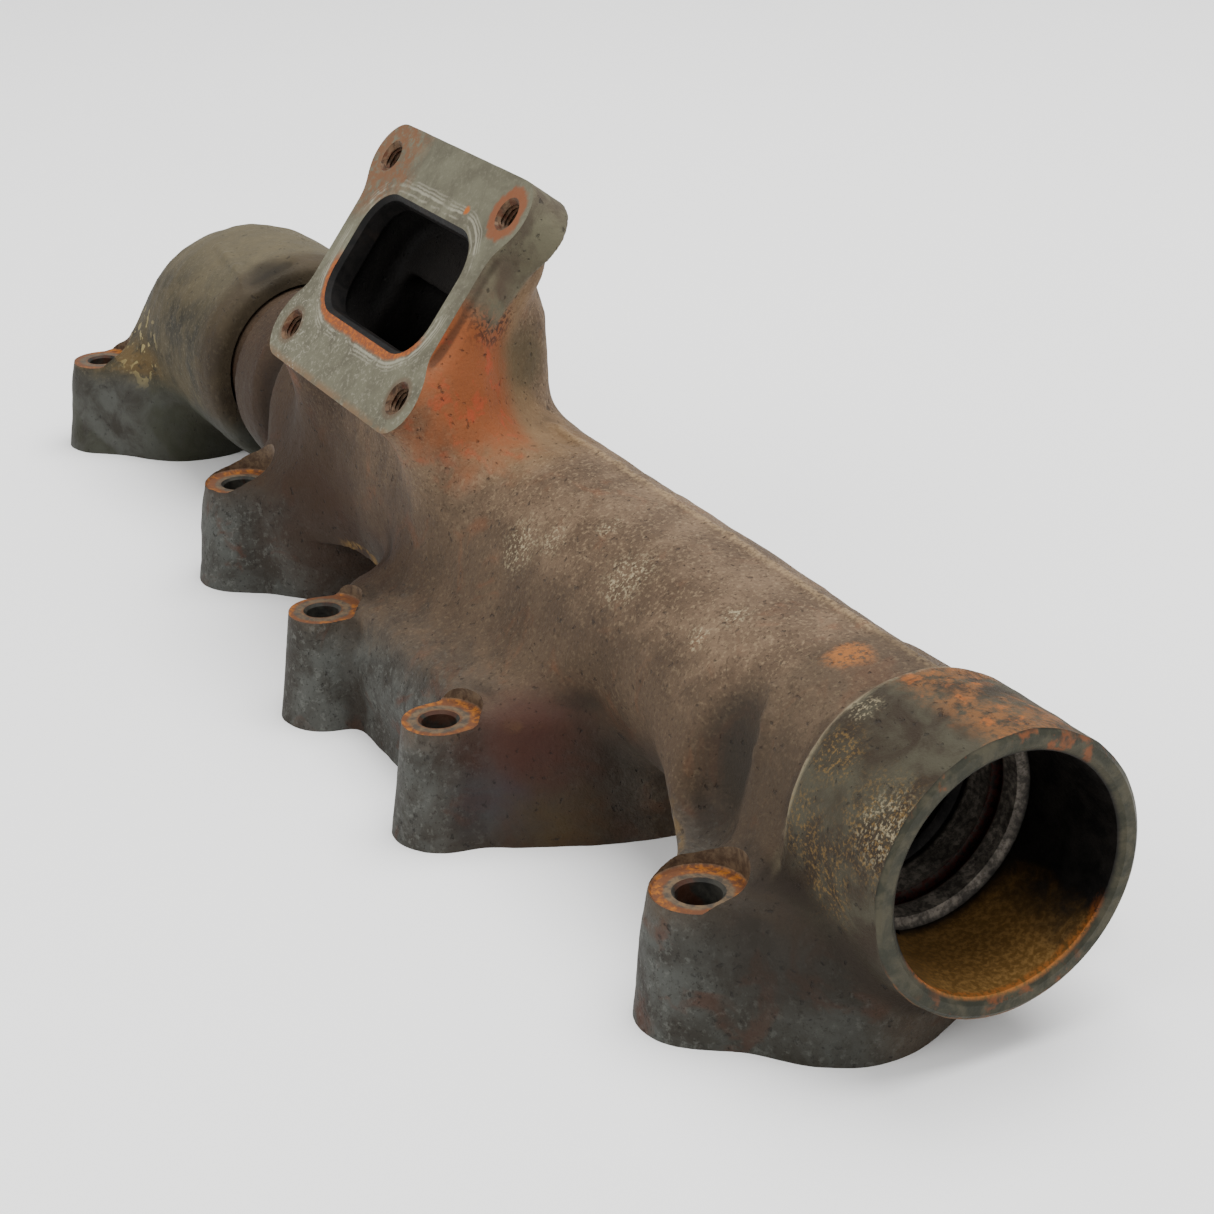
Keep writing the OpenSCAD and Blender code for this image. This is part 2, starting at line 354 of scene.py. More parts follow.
def tube_faces(rows, n, closed=False):
    """Faces of a stack of rings with n points each; the ends are capped unless it closes on itself."""
    faces = []
    for j in range(rows if closed else rows - 1):
        a, b = j * n, (j + 1) % rows * n
        for i in range(n):
            k = (i + 1) % n
            faces.append([a + i, a + k, b + k, b + i])
    if not closed:
        faces += [list(range(n))[::-1], list(range((rows - 1) * n, rows * n))]
    return faces


def lathe(name, profile, origin, axis, material, steps=96, radius=None, closed=False):
    """Solid of revolution: profile is (distance along axis, radius) from end to end."""
    axis = np.array(axis, float) / np.linalg.norm(axis)
    side = np.cross(axis, [0, 1, 0] if abs(axis[1]) < 0.9 else [1, 0, 0])
    side /= np.linalg.norm(side)
    other = np.cross(axis, side)
    angle = np.arange(steps) * 2 * math.pi / steps
    ring = np.cos(angle)[:, None] * side + np.sin(angle)[:, None] * other
    points = []
    for h, r in profile:
        rr = r if radius is None else radius(h, angle, r)
        points.append(np.array(origin) + axis * h + ring * np.reshape(rr, (-1, 1)))
    faces = tube_faces(len(profile), steps, closed)
    return mesh_object(name, np.concatenate(points), faces, material)


def prism(name, outline, origin, x_axis, y_axis, levels, material):
    """Stack of outlines: levels are (height, inset) along the outline's normal."""
    x_axis, y_axis = np.array(x_axis, float), np.array(y_axis, float)
    normal = np.cross(x_axis, y_axis)
    points = []
    for height, inset in levels:
        shape = outline(inset)
        points += [np.array(origin) + x_axis * a + y_axis * b + normal * height for a, b in shape]
    return mesh_object(name, points, tube_faces(len(levels), len(shape)), material)


def round_rect(w, h, r, steps=10):
    points = []
    for cx, cy, a0 in ((1, 1, 0), (-1, 1, 90), (-1, -1, 180), (1, -1, 270)):
        for s in range(steps + 1):
            a = math.radians(a0 + 90 * s / steps)
            points.append((cx * (w / 2 - r) + r * math.cos(a), cy * (h / 2 - r) + r * math.sin(a)))
    return points


def join(name, parts):
    """One object out of closed cutters that do not touch."""
    with bpy.context.temp_override(active_object=parts[0], selected_editable_objects=parts):
        bpy.ops.object.join()
    parts[0].name = name
    return parts[0]


def carve(obj, cutter, operation="DIFFERENCE"):
    mod = obj.modifiers.new("carve", "BOOLEAN")
    mod.operation = operation
    mod.object = cutter
    mod.solver = "MANIFOLD"
    mod.material_mode = "TRANSFER"
    graph = bpy.context.evaluated_depsgraph_get()
    graph.update()
    done = bpy.data.meshes.new_from_object(obj.evaluated_get(graph), depsgraph=graph)
    obj.modifiers.clear()
    old = obj.data
    obj.data = done
    bpy.data.meshes.remove(old)
    bpy.data.objects.remove(cutter)


def smooth_by_angle(obj, degrees):
    obj.data.shade_smooth()
    obj.data.set_sharp_from_angle(angle=math.radians(degrees))


# ---------------------------------------------------------------- castings
def roughen(points, normals, keep, amount=1.0):
    """Sand-cast skin: broad waves, orange-peel grain and a few sunken pits."""
    wave = noise(points, 26, 1) * 0.35
    peel = noise(points, 7, 2) * 0.2 + noise(points, 3.4, 3) * 0.13
    pits = -np.clip(noise(points, 9, 4) * noise(points, 31, 5) - 0.42, 0, 1) * 1.6
    return points + normals * ((wave + peel + pits) * keep * amount)[:, None]


def cast_mesh(name, field, keep, material):
    points, faces = field.surface()
    points = roughen(points, field.slope(points), keep(points))
    return mesh_object(name, points, faces, material)


def neck_body(x, y, z):
    wide = 46 + 3 * np.clip((118 - z) / 60, 0, 1) - 3.5 * np.clip((y - 12) / 20, 0, 1)
    wide = wide + 4 * np.clip((4 - y) / 14, 0, 1)
    side = np.abs(x - TURBO_C[0]) - wide
    back = y - (41.5 - np.clip((z - 118) * 0.32, 0, 9))
    out = smax(side, back, 19.0)
    out = smax(out, -4.5 - y, 18.0)
    depth = (y - TURBO_C[1]) * TURBO_N[1] + (z - TURBO_C[2]) * TURBO_N[2]
    return smax(out, depth + TURBO_T - 4, 1.0)


def on_face(x, y, z):
    """Coordinates across, up and out of the turbocharger face."""
    u = x - TURBO_C[0]
    v = (y - TURBO_C[1]) * TURBO_V[1] + (z - TURBO_C[2]) * TURBO_V[2]
    w = (y - TURBO_C[1]) * TURBO_N[1] + (z - TURBO_C[2]) * TURBO_N[2]
    return u, v, w


def rect2(u, v, hu, hv, r):
    a, b = np.abs(u) - hu + r, np.abs(v) - hv + r
    return np.sqrt(np.maximum(a, 0) ** 2 + np.maximum(b, 0) ** 2) + np.minimum(np.maximum(a, b), 0) - r


def turbo_plate(x, y, z):
    u, v, w = on_face(x, y, z)
    lugs = np.sqrt((np.abs(u) - TURBO_DX) ** 2 + (np.abs(v) - TURBO_DV) ** 2) - LUG_R
    out = smin(rect2(u, v, TURBO_DX + 5, TURBO_DV, 2), lugs, 7.0)
    out = np.minimum(rect2(u, v, TURBO_DX, TURBO_DV + LUG_R, 2), out)
    return smax(out, np.maximum(w - 3, -TURBO_T - w), 2.0)


def turbo_waist(x, y, z):
    u, v, w = on_face(x, y, z)
    half = 49 + 5 * np.clip((4 - v) / 22, 0, 1)
    return smax(rect2(u, v, half, 33, 12), np.maximum(w + 6, -22.5 - w), 6.0)


def neck_gas(x, y, z):
    u, v, w = on_face(x, y, z)
    inlet = smax(rect2(u, v, OPEN_X / 2 + 1.2, OPEN_V / 2 + 1.2, 14), np.maximum(w + 7, -22 - w), 4.0)
    down = smax(
        rect2(x - TURBO_C[0], y - 18.5, OPEN_X / 2 - 1, 15.5, 13), np.maximum(z - 117, LOG_Z - z), 8.0,
    )
    return smin(inlet, down, 4.0)


def on_log(x, degrees, r=LOG_R):
    """Point on the log's skin: degrees count up from the front."""
    a = math.radians(degrees)
    return (x, LOG_Y - r * math.cos(a), LOG_Z + r * math.sin(a))


def around(p, q, pad):
    """Box round two points, as its low and high corner."""
    return np.minimum(p, q) - pad, np.maximum(p, q) + pad


def flash(field, points, radius):
    """Thin raised line, as left by the parting of the mould."""
    points = [np.array(p) for p in points]
    for p, q in zip(points, points[1:]):
        field.add(bar(p, q, radius), *around(p, q, 2), 3.0)


def runner_end(port, shift):
    return (port[0] + shift, LOG_Y, LOG_Z)


SEAM = 105                             # degrees up the log's skin to the mould's parting line
RUNNERS = [(PORTS[1], 26), (PORTS[2], -30), (PORTS[3], -62)]
RUNNER_R = 19.0
RUNNER_Z = 18.0
WALL = 7.0


def hollow(solid, gas):
    """Takes the gas passages out of the metal, and keeps them for the materials."""
    solid.d = smax(solid.d, -gas.d, 0)
    solid.gas = gas
    return solid


LEFT, RIGHT = MIDDLE_BOLTS[0][0], MIDDLE_BOLTS[2][0]
FRONT, REAR = MIDDLE_BOLTS[0][1], MIDDLE_BOLTS[1][1]


def log_body():
    x0, x1 = SPIGOT_X, MOUTH_X
    return turned([
        (x0, SPIGOT_R - 2), (x0 + 3, SPIGOT_R), (COLLAR_X + 10, SPIGOT_R),
        (BEAD_X - 19, 36.8), (BEAD_X - 4, 38.2), (BEAD_X + 3, 38.2), (BEAD_X + 7, 36.5), (BEAD_X + 11, 33),
        (BODY_X - 8, 33), (BODY_X - 1, 37.4), (BODY_X + 12, 36.8), (BODY_X + 60, 34.8), (-75, 35),
        (x1 - 80, LOG_R - 0.4),
        (BELL_X - 3, LOG_R), (BELL_X + 1.5, BELL_R - 1), (BELL_X + 5, BELL_R), (x1 + 3, BELL_R),
    ], 1.5)


def add_blocks(f):
    for port, holes, blend in ((PORTS[3], END_BOLTS[2:], 4.0), (PORTS[1], END_BOLTS[:2], 7.0)):
        f.add(block(two_bolt(port, holes)), [port[0] - 34, -54, -6], [port[0] + 34, 98, 46], blend)
    mid = (LEFT + RIGHT) / 2
    outline = [
        (LEFT - 12, FRONT + 5), (RIGHT + 16, FRONT + 5), (mid + 84, 0), (mid + 84, 27),
        (RIGHT + 12, REAR - 5), (LEFT - 12, REAR - 5), (mid - 84, 27), (mid - 84, 0),
    ]
    f.add(
        block(lambda x, y: polygon(x, y, outline) + DRAFT - 1),
        [mid - 92, FRONT - 6, -6], [mid + 92, REAR + 6, 46], 7.0,
    )
    for port, shift in RUNNERS:
        end = runner_end(port, shift)
        low = [min(port[0], end[0]) - 28, -28, -6]
        high = [max(port[0], end[0]) + 28, LOG_Y + 28, LOG_Z + 28]
        f.add(bar((port[0], 0, RUNNER_Z), end, RUNNER_R + WALL), low, high, 12.0)


def add_skirts(f):
    """Skirts from the bolt bosses up to the log, and the bosses themselves."""
    bx, by = END_BOLTS[2][0], END_BOLTS[2][1]
    skirts = [
        ((bx - 9, bx - 2, by, 22, 8), (46, 100, LOG_Y, LOG_Z, 27.5), 16.0, 12.0),
        ((bx - 4, bx + 8, by + 6, 18, 8), (140, 168, LOG_Y, LOG_Z, 34.3), 4.0, 3.0),
        ((LEFT - 2, RIGHT + 4, FRONT + 12, 22, 6), (LEFT - 24, RIGHT + 34, LOG_Y, LOG_Z, 27), 12.0, 12.0),
        ((END_BOLTS[0][0] - 9, END_BOLTS[0][0] + 9, by, 22, 8), (-196, -116, LOG_Y, LOG_Z, 27), 12.0, 12.0),
        ((bx - 8, bx + 8, END_BOLTS[3][1], 29, 10), (108, 152, LOG_Y, LOG_Z, 26), 12.0, 12.0),
        ((LEFT - 2, RIGHT + 2, REAR - 13, 30, 6), (LEFT - 12, RIGHT + 12, LOG_Y, LOG_Z, 26), 12.0, 12.0),
        (
            (END_BOLTS[1][0] - 8, END_BOLTS[1][0] + 8, END_BOLTS[1][1], 29, 10),
            (-196, -158, LOG_Y, LOG_Z, 26), 12.0, 12.0,
        ),
    ]
    for a, b, edge, blend in skirts:
        low = [min(a[0], b[0]) - 6, min(a[2], LOG_Y) - 36, 8]
        high = [max(a[1], b[1]) + 6, max(a[2], LOG_Y) + 36, LOG_Z + 36]
        f.add(skirt(a, b, edge), low, high, blend)
    for x, y, _ in END_BOLTS + MIDDLE_BOLTS:
        f.add(boss(x, y), [x - 18, y - 18, -6], [x + 18, y + 18, 42], 7.0)


def add_neck(f):
    f.add(neck_body, [-162, -12, LOG_Z], [-50, 50, 150], 9.0)
    f.add(lambda x, y, z: smax(neck_body(x, y, z), y - 14, 10.0), [-162, -12, LOG_Z], [-50, 30, 150], 24.0)
    # The flange's lower corners run down into the log without a step
    for hole, side in ((TURBO_HOLES[0], -1), (TURBO_HOLES[1], 1)):
        foot = (hole[0] + side * 5, 4, 72)
        f.add(bar(hole, foot, 12.0, 15.0), *around(hole, foot, 16), 16.0)
    f.add(turbo_waist, [-160, -45, 80], [-52, 55, 165], 8.0)
    f.add(turbo_plate, [-172, -50, 80], [-40, 60, 173], 2.5)
    # Hollows cast into the sides of the neck behind the thick part of the flange
    for side in (-1, 1):
        f.cut(bar((TURBO_C[0] + side * 63, 27, 114), (TURBO_C[0] + side * 64, 28, 106), 18),
              [TURBO_C[0] + side * 63 - 20, 7, 80], [TURBO_C[0] + side * 63 + 20, 48, 134], 9.0)


def add_details(f):
    """Flash lines along the mould's parting, and the hollow beside the bell."""
    # Hollow in front of the rib beside the bell, and the flash along its edge
    ends = [on_log(132, a, LOG_R + 10) for a in (-4, 34)]
    f.cut(bar(ends[0], ends[1], 13.2), [112, LOG_Y - 62, 20], [152, LOG_Y, 105], 5.0)
    flash(f, [on_log(138, 48), on_log(143, 36), on_log(146, 22), on_log(148.5, 0), on_log(149, -22)], 0.9)
    flash(f, [on_log(x, SEAM, LOG_R + 0.5) for x in (-52, -8, 60, BELL_X - 2)], 1.2)
    flash(
        f,
        [
            on_log(-93, 74, LOG_R + 1), on_log(-74, 72, LOG_R + 0.5), on_log(-56, 71, LOG_R + 0.3),
            on_log(-34, 73, LOG_R + 0.2),
        ], 1.2,
    )


def centre_gas(f):
    x0, x1 = SPIGOT_X, MOUTH_X
    gas = Field(f.low, [x1 + 6, 98, 173])
    bore = turned(
        [
            (x0 - 10, SPIGOT_BORE_R), (BODY_X - 22, SPIGOT_BORE_R), (BODY_X + 12, BORE_R - 1.5),
            (BELL_X - 8, BORE_R - 1.5),
        ], 1.0,
    )
    gas.add(bore, [x0 - 5, LOG_Y - 28, LOG_Z - 28], [BELL_X, LOG_Y + 28, LOG_Z + 28])
    for port, shift in RUNNERS:
        end = runner_end(port, shift)
        low = [min(port[0], end[0]) - 20, -20, -6]
        high = [max(port[0], end[0]) + 20, LOG_Y + 20, LOG_Z + 20]
        gas.add(bar((port[0] - 0.1 * abs(shift), 0, RUNNER_Z - 8), end, RUNNER_R), low, high, 8.0)
    gas.add(neck_gas, [-150, -30, LOG_Z - 4], [-62, 45, 150], 8.0)
    return gas


def centre_field():
    x0, x1 = SPIGOT_X, MOUTH_X
    f = Field([x0 - 5, -70, -6], [x1 + 6, 98, 173])
    f.add(log_body(), [x0, LOG_Y - 42, LOG_Z - 42], [x1 + 3, LOG_Y + 42, LOG_Z + 42])
    add_blocks(f)
    add_skirts(f)
    add_neck(f)
    add_details(f)
    return hollow(f, centre_gas(f))


def elbow_field():
    x1 = COLLAR_X
    collar = turned([
        (x1 - 96, 31), (x1 - 84, 37), (x1 - 72, 41), (x1 - 62, COLLAR_R - 0.3), (x1 - 44, COLLAR_R),
        (x1 - 10, COLLAR_R), (x1 - 3, COLLAR_R - 1.2), (x1, COLLAR_R - 3.5),
    ], 1.5)
    port = PORTS[0]
    f = Field([port[0] - 42, -60, -6], [x1 + 5, 104, 102])
    f.add(collar, [x1 - 96, LOG_Y - 45, LOG_Z - 45], [x1, LOG_Y + 45, LOG_Z + 45])
    f.add(bar(DOME, DOME + [0.1, 0, 0], DOME_R), DOME - DOME_R, DOME + DOME_R, 10.0)
    f.add(block(two_bolt(port, ELBOW_BOLTS)), [port[0] - 34, -54, -6], [port[0] + 34, 98, 46], 6.0)
    f.add(bar((port[0], 0, RUNNER_Z), DOME, RUNNER_R + WALL + 4), [port[0] - 32, -32, -6], DOME + 32, 10.0)
    for x, y, _ in ELBOW_BOLTS:
        foot = (x - 7, x + 9, y, 23, 8)
        f.add(skirt(foot, (DOME[0] - 12, DOME[0] + 26, DOME[1], DOME[2] + 2, 26), 12.0),
              [x - 30, min(y, DOME[1]) - 32, 8], [x + 60, max(y, DOME[1]) + 32, 80], 10.0)
        f.add(boss(x, y), [x - 18, y - 18, -6], [x + 18, y + 18, 42], 2.5)
    # Flash left along the parting line of the collar, and a pocket in its rim
    angles = (66, 64, 61, 57)
    xs = np.linspace(x1 - 52, x1 - 6, 4)
    flash(f, [on_log(x, a, COLLAR_R) for x, a in zip(xs, angles)], 1.1)
    ends = [np.array(on_log(x, a, COLLAR_R + 2.4)) for x, a in ((x1 - 3, 62), (x1 - 6, 82))]
    f.cut(bar(*ends, 5.6), *around(*ends, 8), 2.5)
    gas = Field(f.low, [x1 + 5, 104, 102])
    gas.add(
        bar(DOME, (x1 - 50, LOG_Y, LOG_Z), DOME_R - 9, BORE_R), DOME - 32, [x1 - 20, LOG_Y + 32, LOG_Z + 32],
    )
    gas.add(bar((port[0], 0, RUNNER_Z), DOME, RUNNER_R), [port[0] - 20, -20, -6], DOME + 20, 8.0)
    return hollow(f, gas)


# ---------------------------------------------------------------- machining
X, Z = (1, 0, 0), (0, 0, 1)
LOG_MIDDLE = (0, LOG_Y, LOG_Z)


def below(material, x0, x1):
    outline = lambda inset: [(x0, -120), (x1, -120), (x1, 150), (x0, 150)]
    return prism("below", outline, (0, 0, 0), (1, 0, 0), (0, 1, 0), [(-30, 0), (0, 0)], material)


def port_cutter(port, material):
    chamfer = 1.2
    profile = [
        (-5, PORT_R + chamfer), (0, PORT_R + chamfer), (chamfer, PORT_R), (RUNNER_Z, PORT_R),
        (RUNNER_Z + 2, PORT_R - 3),
    ]
    return lathe("port", profile, (port[0], 0, 0), Z, material, 72)


def thread_radius(minor, depth, pitch):
    """Radius of a vee thread at height h and angle a: a true helix."""
    def f(h, a, r):
        if r != minor:
            return np.full(len(a), r)
        s = (h / pitch - a / (2 * math.pi)) % 1
        return minor + depth * (1 - np.abs(2 * s - 1))
    return f


ACROSS = np.array([1.0, 0, 0])


def turbo_plane(material):
    outline = lambda inset: [(-72, -60), (72, -60), (72, 60), (-72, 60)]
    return prism("face", outline, TURBO_C, ACROSS, TURBO_V, [(0, 0), (26, 0)], material)


def turbo_mouth(material):
    outline = lambda inset: round_rect(OPEN_X - 2 * inset, OPEN_V - 2 * inset, 13.5 - inset)
    levels = [(-9, 0.6), (-1.6, 0), (0.2, -1.8), (2, -1.8)]
    return prism("opening", outline, TURBO_C, ACROSS, TURBO_V, levels, material)


def turbo_taps(material):
    pitch, depth = 1.5, 0.75
    rows = [(h, HOLE_R) for h in np.arange(-16, -0.9, pitch / 6)]
    lead = [(-0.9, HOLE_R + depth), (0.3, HOLE_R + 1.9), (2, HOLE_R + 1.9)]
    return [
        lathe("tap", [(-17, HOLE_R - 2)] + rows + lead, hole + TURBO_N * HOLE_DEPTH, TURBO_N, material, 40,
              thread_radius(HOLE_R, depth, pitch))
        for hole in TURBO_HOLES
    ]


def socket_cutter(material):
    s, step = STEP_X, SOCKET_R - 2.0
    profile = [
        (s - 24, BORE_R - 0.5), (s - 23, BORE_R + 1.2), (s - 21, step - 2.6), (s - 13, step - 2.0),
        (s - 12.4, step + 0.8), (s - 9.4, step + 0.8), (s - 8.8, step - 1.4), (s - 3, step - 1.0),
        (s - 1.6, SOCKET_R), (MOUTH_X - 1.6, SOCKET_R), (MOUTH_X, SOCKET_R + 1.8), (MOUTH_X, BELL_R - 1.4),
        (MOUTH_X - 1.8, BELL_R + 0.8), (MOUTH_X - 1.8, BELL_R + 9), (MOUTH_X + 12, BELL_R + 9),
    ]
    return lathe("socket", profile, LOG_MIDDLE, X, material, 144)


# ---------------------------------------------------------------- assembly
def machine(obj, *groups):
    """Cuts each group of cutters that do not touch one another in one go."""
    for group in groups:
        parts = list(group)
        carve(obj, join("cutters", parts) if len(parts) > 1 else parts[0])
    smooth_by_angle(obj, 32)


# Skin facing the gas is painted near black, for soot and for painted shade inside the passages
SOOT_AND_SHADE_DEPTH = 2.2                       # skin this near to a gas passage is its wall


def add_relief(obj, field):
    """Stores how convex (+) or hollow (-) the casting is, and which skin faces the gas."""
    mesh = obj.data
    p = np.empty(len(mesh.vertices) * 3, np.float32)
    mesh.vertices.foreach_get("co", p)
    p = p.reshape(-1, 3) / MM
    reach = 5.0
    total = sum(field.sample(p + s * np.eye(3)[i] * reach) for i in range(3) for s in (-1, 1))
    relief = np.clip((total - 6 * field.sample(p)) / reach, -3, 3)
    inside = np.clip(SOOT_AND_SHADE_DEPTH - field.gas.sample(p), 0, 1)
    for name, value in (("relief", relief), ("inside", inside)):
        mesh.attributes.new(name, "FLOAT", "POINT").data.foreach_set("value", value.astype(np.float32))


def seats(holes, look):
    return [
        lathe(
            "seat", [(SEAT_Z, SPOT_R - 0.8), (SEAT_Z + 0.8, SPOT_R), (SEAT_Z + 40, SPOT_R + 0.6)], (x, y, 0),
            Z, look["seat"], 72,
        )
        for x, y, _ in holes
    ]


def drills(holes, look):
    return [
        lathe(
            "hole", [(-5, r), (SEAT_Z - 0.9, r), (SEAT_Z, r + 0.9), (SEAT_Z + 1, r + 0.9)], (x, y, 0), Z,
            look["hole"], 48,
        )
        for x, y, r in holes
    ]


def groove(x, material):
    low, high, floor_r, top_r = x - 0.1, x + 4.1, 27.2, 36
    profile = [(low, top_r), (high, top_r), (high, floor_r), (low, floor_r)]
    return lathe("groove", profile, LOG_MIDDLE, X, material, 96, closed=True)


def centre_casting(look):
    field = centre_field()

    def keep(p):
        plate = np.clip((on_face(*p.T)[2] + TURBO_T + 4) / 5, 0, 1)
        return np.clip((p[:, 0] - (COLLAR_X + 12)) / 10, 0, 1) * (1 - 0.8 * plate)

    obj = cast_mesh("centre_casting", field, keep, look["casting"])
    holes = END_BOLTS + MIDDLE_BOLTS
    machine(
        obj,
        [below(look["machined"], SPIGOT_X - 20, MOUTH_X + 20), turbo_plane(look["turbo_face"])],
        seats(holes, look) + [turbo_mouth(look["gas"]), socket_cutter(look["bore"])],
        drills(holes, look) + [port_cutter(p, look["gas"]) for p in PORTS[1:]] + turbo_taps(look["thread"])
        + [groove(x, look["machined"]) for x in RING_XS],
    )
    add_relief(obj, field)
    return obj


def elbow_casting(look):
    field = elbow_field()
    keep = lambda p: np.clip((COLLAR_X - 2 - p[:, 0]) / 4, 0.25, 1)
    obj = cast_mesh("elbow_casting", field, keep, look["elbow"])
    profile = [
        (COLLAR_X - 50, SOCKET_R - 4), (COLLAR_X - 49.6, SOCKET_R), (COLLAR_X - 1.5, SOCKET_R),
        (COLLAR_X - 0.5, SOCKET_R + 0.8), (COLLAR_X + 4, SOCKET_R + 0.8),
    ]
    collar_bore = lathe("bore", profile, LOG_MIDDLE, X, look["bore"], 120)
    machine(
        obj,
        [below(look["machined"], PORTS[0][0] - 60, COLLAR_X + 20)],
        seats(ELBOW_BOLTS, look) + [collar_bore],
        drills(ELBOW_BOLTS, look) + [port_cutter(PORTS[0], look["gas"])],
    )
    add_relief(obj, field)
    return obj


# ---------------------------------------------------------------- materials
def srgb(*rgb):
    return tuple(((c / 255 + 0.055) / 1.055) ** 2.4 if c > 10 else c / 255 / 12.92 for c in rgb) + (1.0,)


SAND_DARK, SAND_MID, SAND_LIGHT = srgb(92, 76, 64), srgb(133, 113, 97), srgb(166, 147, 124)
FLANK, FLANK_DARK, FLANK_LIGHT = srgb(86, 90, 92), srgb(56, 54, 52), srgb(118, 123, 125)
BELL, BELL_DARK = srgb(80, 78, 68), srgb(56, 47, 38)
OLIVE, OLIVE_DARK, OLIVE_LIGHT = srgb(84, 77, 61), srgb(50, 47, 37), srgb(122, 115, 98)
RUST, RUST_BRIGHT, RUST_DARK = srgb(152, 88, 54), srgb(196, 112, 48), srgb(92, 52, 36)
GREEN_BROWN, OCHRE, SCALE_AND_HIGHLIGHT_WHITE = srgb(150, 122, 92), srgb(140, 112, 66), srgb(196, 186, 160)
PURPLE, BLUE = srgb(72, 42, 36), srgb(58, 60, 70)
SOOT, BLACK = srgb(40, 38, 38), srgb(16, 16, 17)
ALBEDO = (0.60, 0.57, 0.49)            # darkens and warms every stained surface under the bright stage
SPECULAR = 0.15
FACE, FACE_DARK, FACE_LIGHT = srgb(134, 134, 120), srgb(104, 101, 90), srgb(188, 188, 178)


class Paint:
    """A colour under way: each coat tints it where all its masks are high."""

    def __init__(self, look, out):
        self.look, self.out = look, out

    def coat(self, tint, *masks):
        self.out = self.look.mix(self.look.times(*masks), self.out, tint)


class Look:
    """One procedural material, built from positions in millimetres."""

    def __init__(self, name, roughness=0.75, metallic=0.0):
        self.mat = bpy.data.materials.new(name)
        self.mat.use_nodes = True
        self.nodes, self.links = self.mat.node_tree.nodes, self.mat.node_tree.links
        self.bsdf = self.nodes["Principled BSDF"]
        self.bsdf.inputs["Metallic"].default_value = metallic
        self.bsdf.inputs["Roughness"].default_value = roughness
        self.bsdf.inputs["Specular IOR Level"].default_value = SPECULAR
        metres = self.nodes.new("ShaderNodeTexCoord").outputs["Object"]
        self.p = self.vector("MULTIPLY", metres, (1 / MM,) * 3)
        split = self.nodes.new("ShaderNodeSeparateXYZ")
        self.links.new(self.p, split.inputs[0])
        self.x, self.y, self.z = split.outputs

    def put(self, socket, value):
        value = getattr(value, "out", value)
        if hasattr(value, "is_output"):
            self.links.new(value, socket)
        else:
            socket.default_value = value

    def vector(self, op, a, b=(0, 0, 0)):
        n = self.nodes.new("ShaderNodeVectorMath")
        n.operation = op
        self.put(n.inputs[0], a)
        self.put(n.inputs[1], b)
        return n.outputs["Value" if op == "LENGTH" else "Vector"]

    def math(self, op, a, b=0.0):
        n = self.nodes.new("ShaderNodeMath")
        n.operation = op
        self.put(n.inputs[0], a)
        self.put(n.inputs[1], b)
        return n.outputs[0]

    def plus(self, a, b):
        return self.math("ADD", a, b)

    def minus(self, a, b):
        return self.math("SUBTRACT", a, b)

    def times(self, *values):
        out = values[0]
        for v in values[1:]:
            out = self.math("MULTIPLY", out, v)
        return out

    def jitter(self, value, noise, amount):
        """The value, pushed up and down by a noise."""
        return self.plus(value, self.times(self.minus(noise, 0.5), amount))

    def ramp(self, value, low, high):
        """0 at low, 1 at high, smooth between; high may be the smaller number."""
        n = self.nodes.new("ShaderNodeMapRange")
        n.interpolation_type = "SMOOTHSTEP"
        first, last = (0, 1) if low <= high else (1, 0)
        values = (value, min(low, high), max(low, high), first, last)
        for name, v in zip(("Value", "From Min", "From Max", "To Min", "To Max"), values):
            self.put(n.inputs[name], v)
        return n.outputs["Result"]

    def noise(self, size, detail=4.0, rough=0.55, warp=0.0, shift=0.0):
        n = self.nodes.new("ShaderNodeTexNoise")
        n.inputs["Scale"].default_value = 1 / size
        n.inputs["Detail"].default_value = detail
        n.inputs["Roughness"].default_value = rough
        n.inputs["Distortion"].default_value = warp
        moved = self.vector("ADD", self.p, (shift, shift * 1.7, shift * 0.6))
        self.links.new(moved, n.inputs["Vector"])
        return n.outputs["Fac"]

    def patches(self, low, high, *size):
        """Ragged patches: 0 where the noise is at low, 1 where it is at high."""
        return self.ramp(self.noise(*size), low, high)

    def far(self, point, stretch=(1, 1, 1)):
        """Distance from a point, with each axis stretched."""
        offset = self.vector("SUBTRACT", self.p, [float(c) for c in point])
        return self.vector("LENGTH", self.vector("MULTIPLY", offset, stretch))

    def blob(self, point, radius, soft=0.5, ragged=0.35, stretch=(1, 1, 1), shift=0.0):
        """1 near a point, fading to 0 over a ragged edge."""
        edge = self.jitter(self.far(point, stretch), self.noise(9, 5, 0.6, 0.4, shift), radius * ragged * 4)
        return self.ramp(edge, radius * (1 + soft), radius * (1 - soft))

    def mix(self, fac, a, b):
        n = self.nodes.new("ShaderNodeMix")
        n.data_type = "RGBA"
        self.put(n.inputs[0], fac)
        self.put(n.inputs[6], a)
        self.put(n.inputs[7], b)
        return n.outputs[2]

    def paint(self, fac, a, b):
        """A mixed colour that takes coat upon coat."""
        return Paint(self, self.mix(fac, a, b))

    def attribute(self, name):
        n = self.nodes.new("ShaderNodeAttribute")
        n.attribute_name = name
        return n.outputs["Fac"]

    def finish(self, colour, rough=None, height=None, depth=0.4, strength=0.6, albedo=ALBEDO):
        self.put(self.bsdf.inputs["Base Color"], self.vector("MULTIPLY", colour, albedo))
        if rough is not None:
            self.put(self.bsdf.inputs["Roughness"], rough)
        if height is not None:
            bump = self.nodes.new("ShaderNodeBump")
            bump.inputs["Strength"].default_value = strength
            bump.inputs["Distance"].default_value = depth * MM
            self.links.new(height, bump.inputs["Height"])
            self.links.new(bump.outputs["Normal"], self.bsdf.inputs["Normal"])
        return self.mat


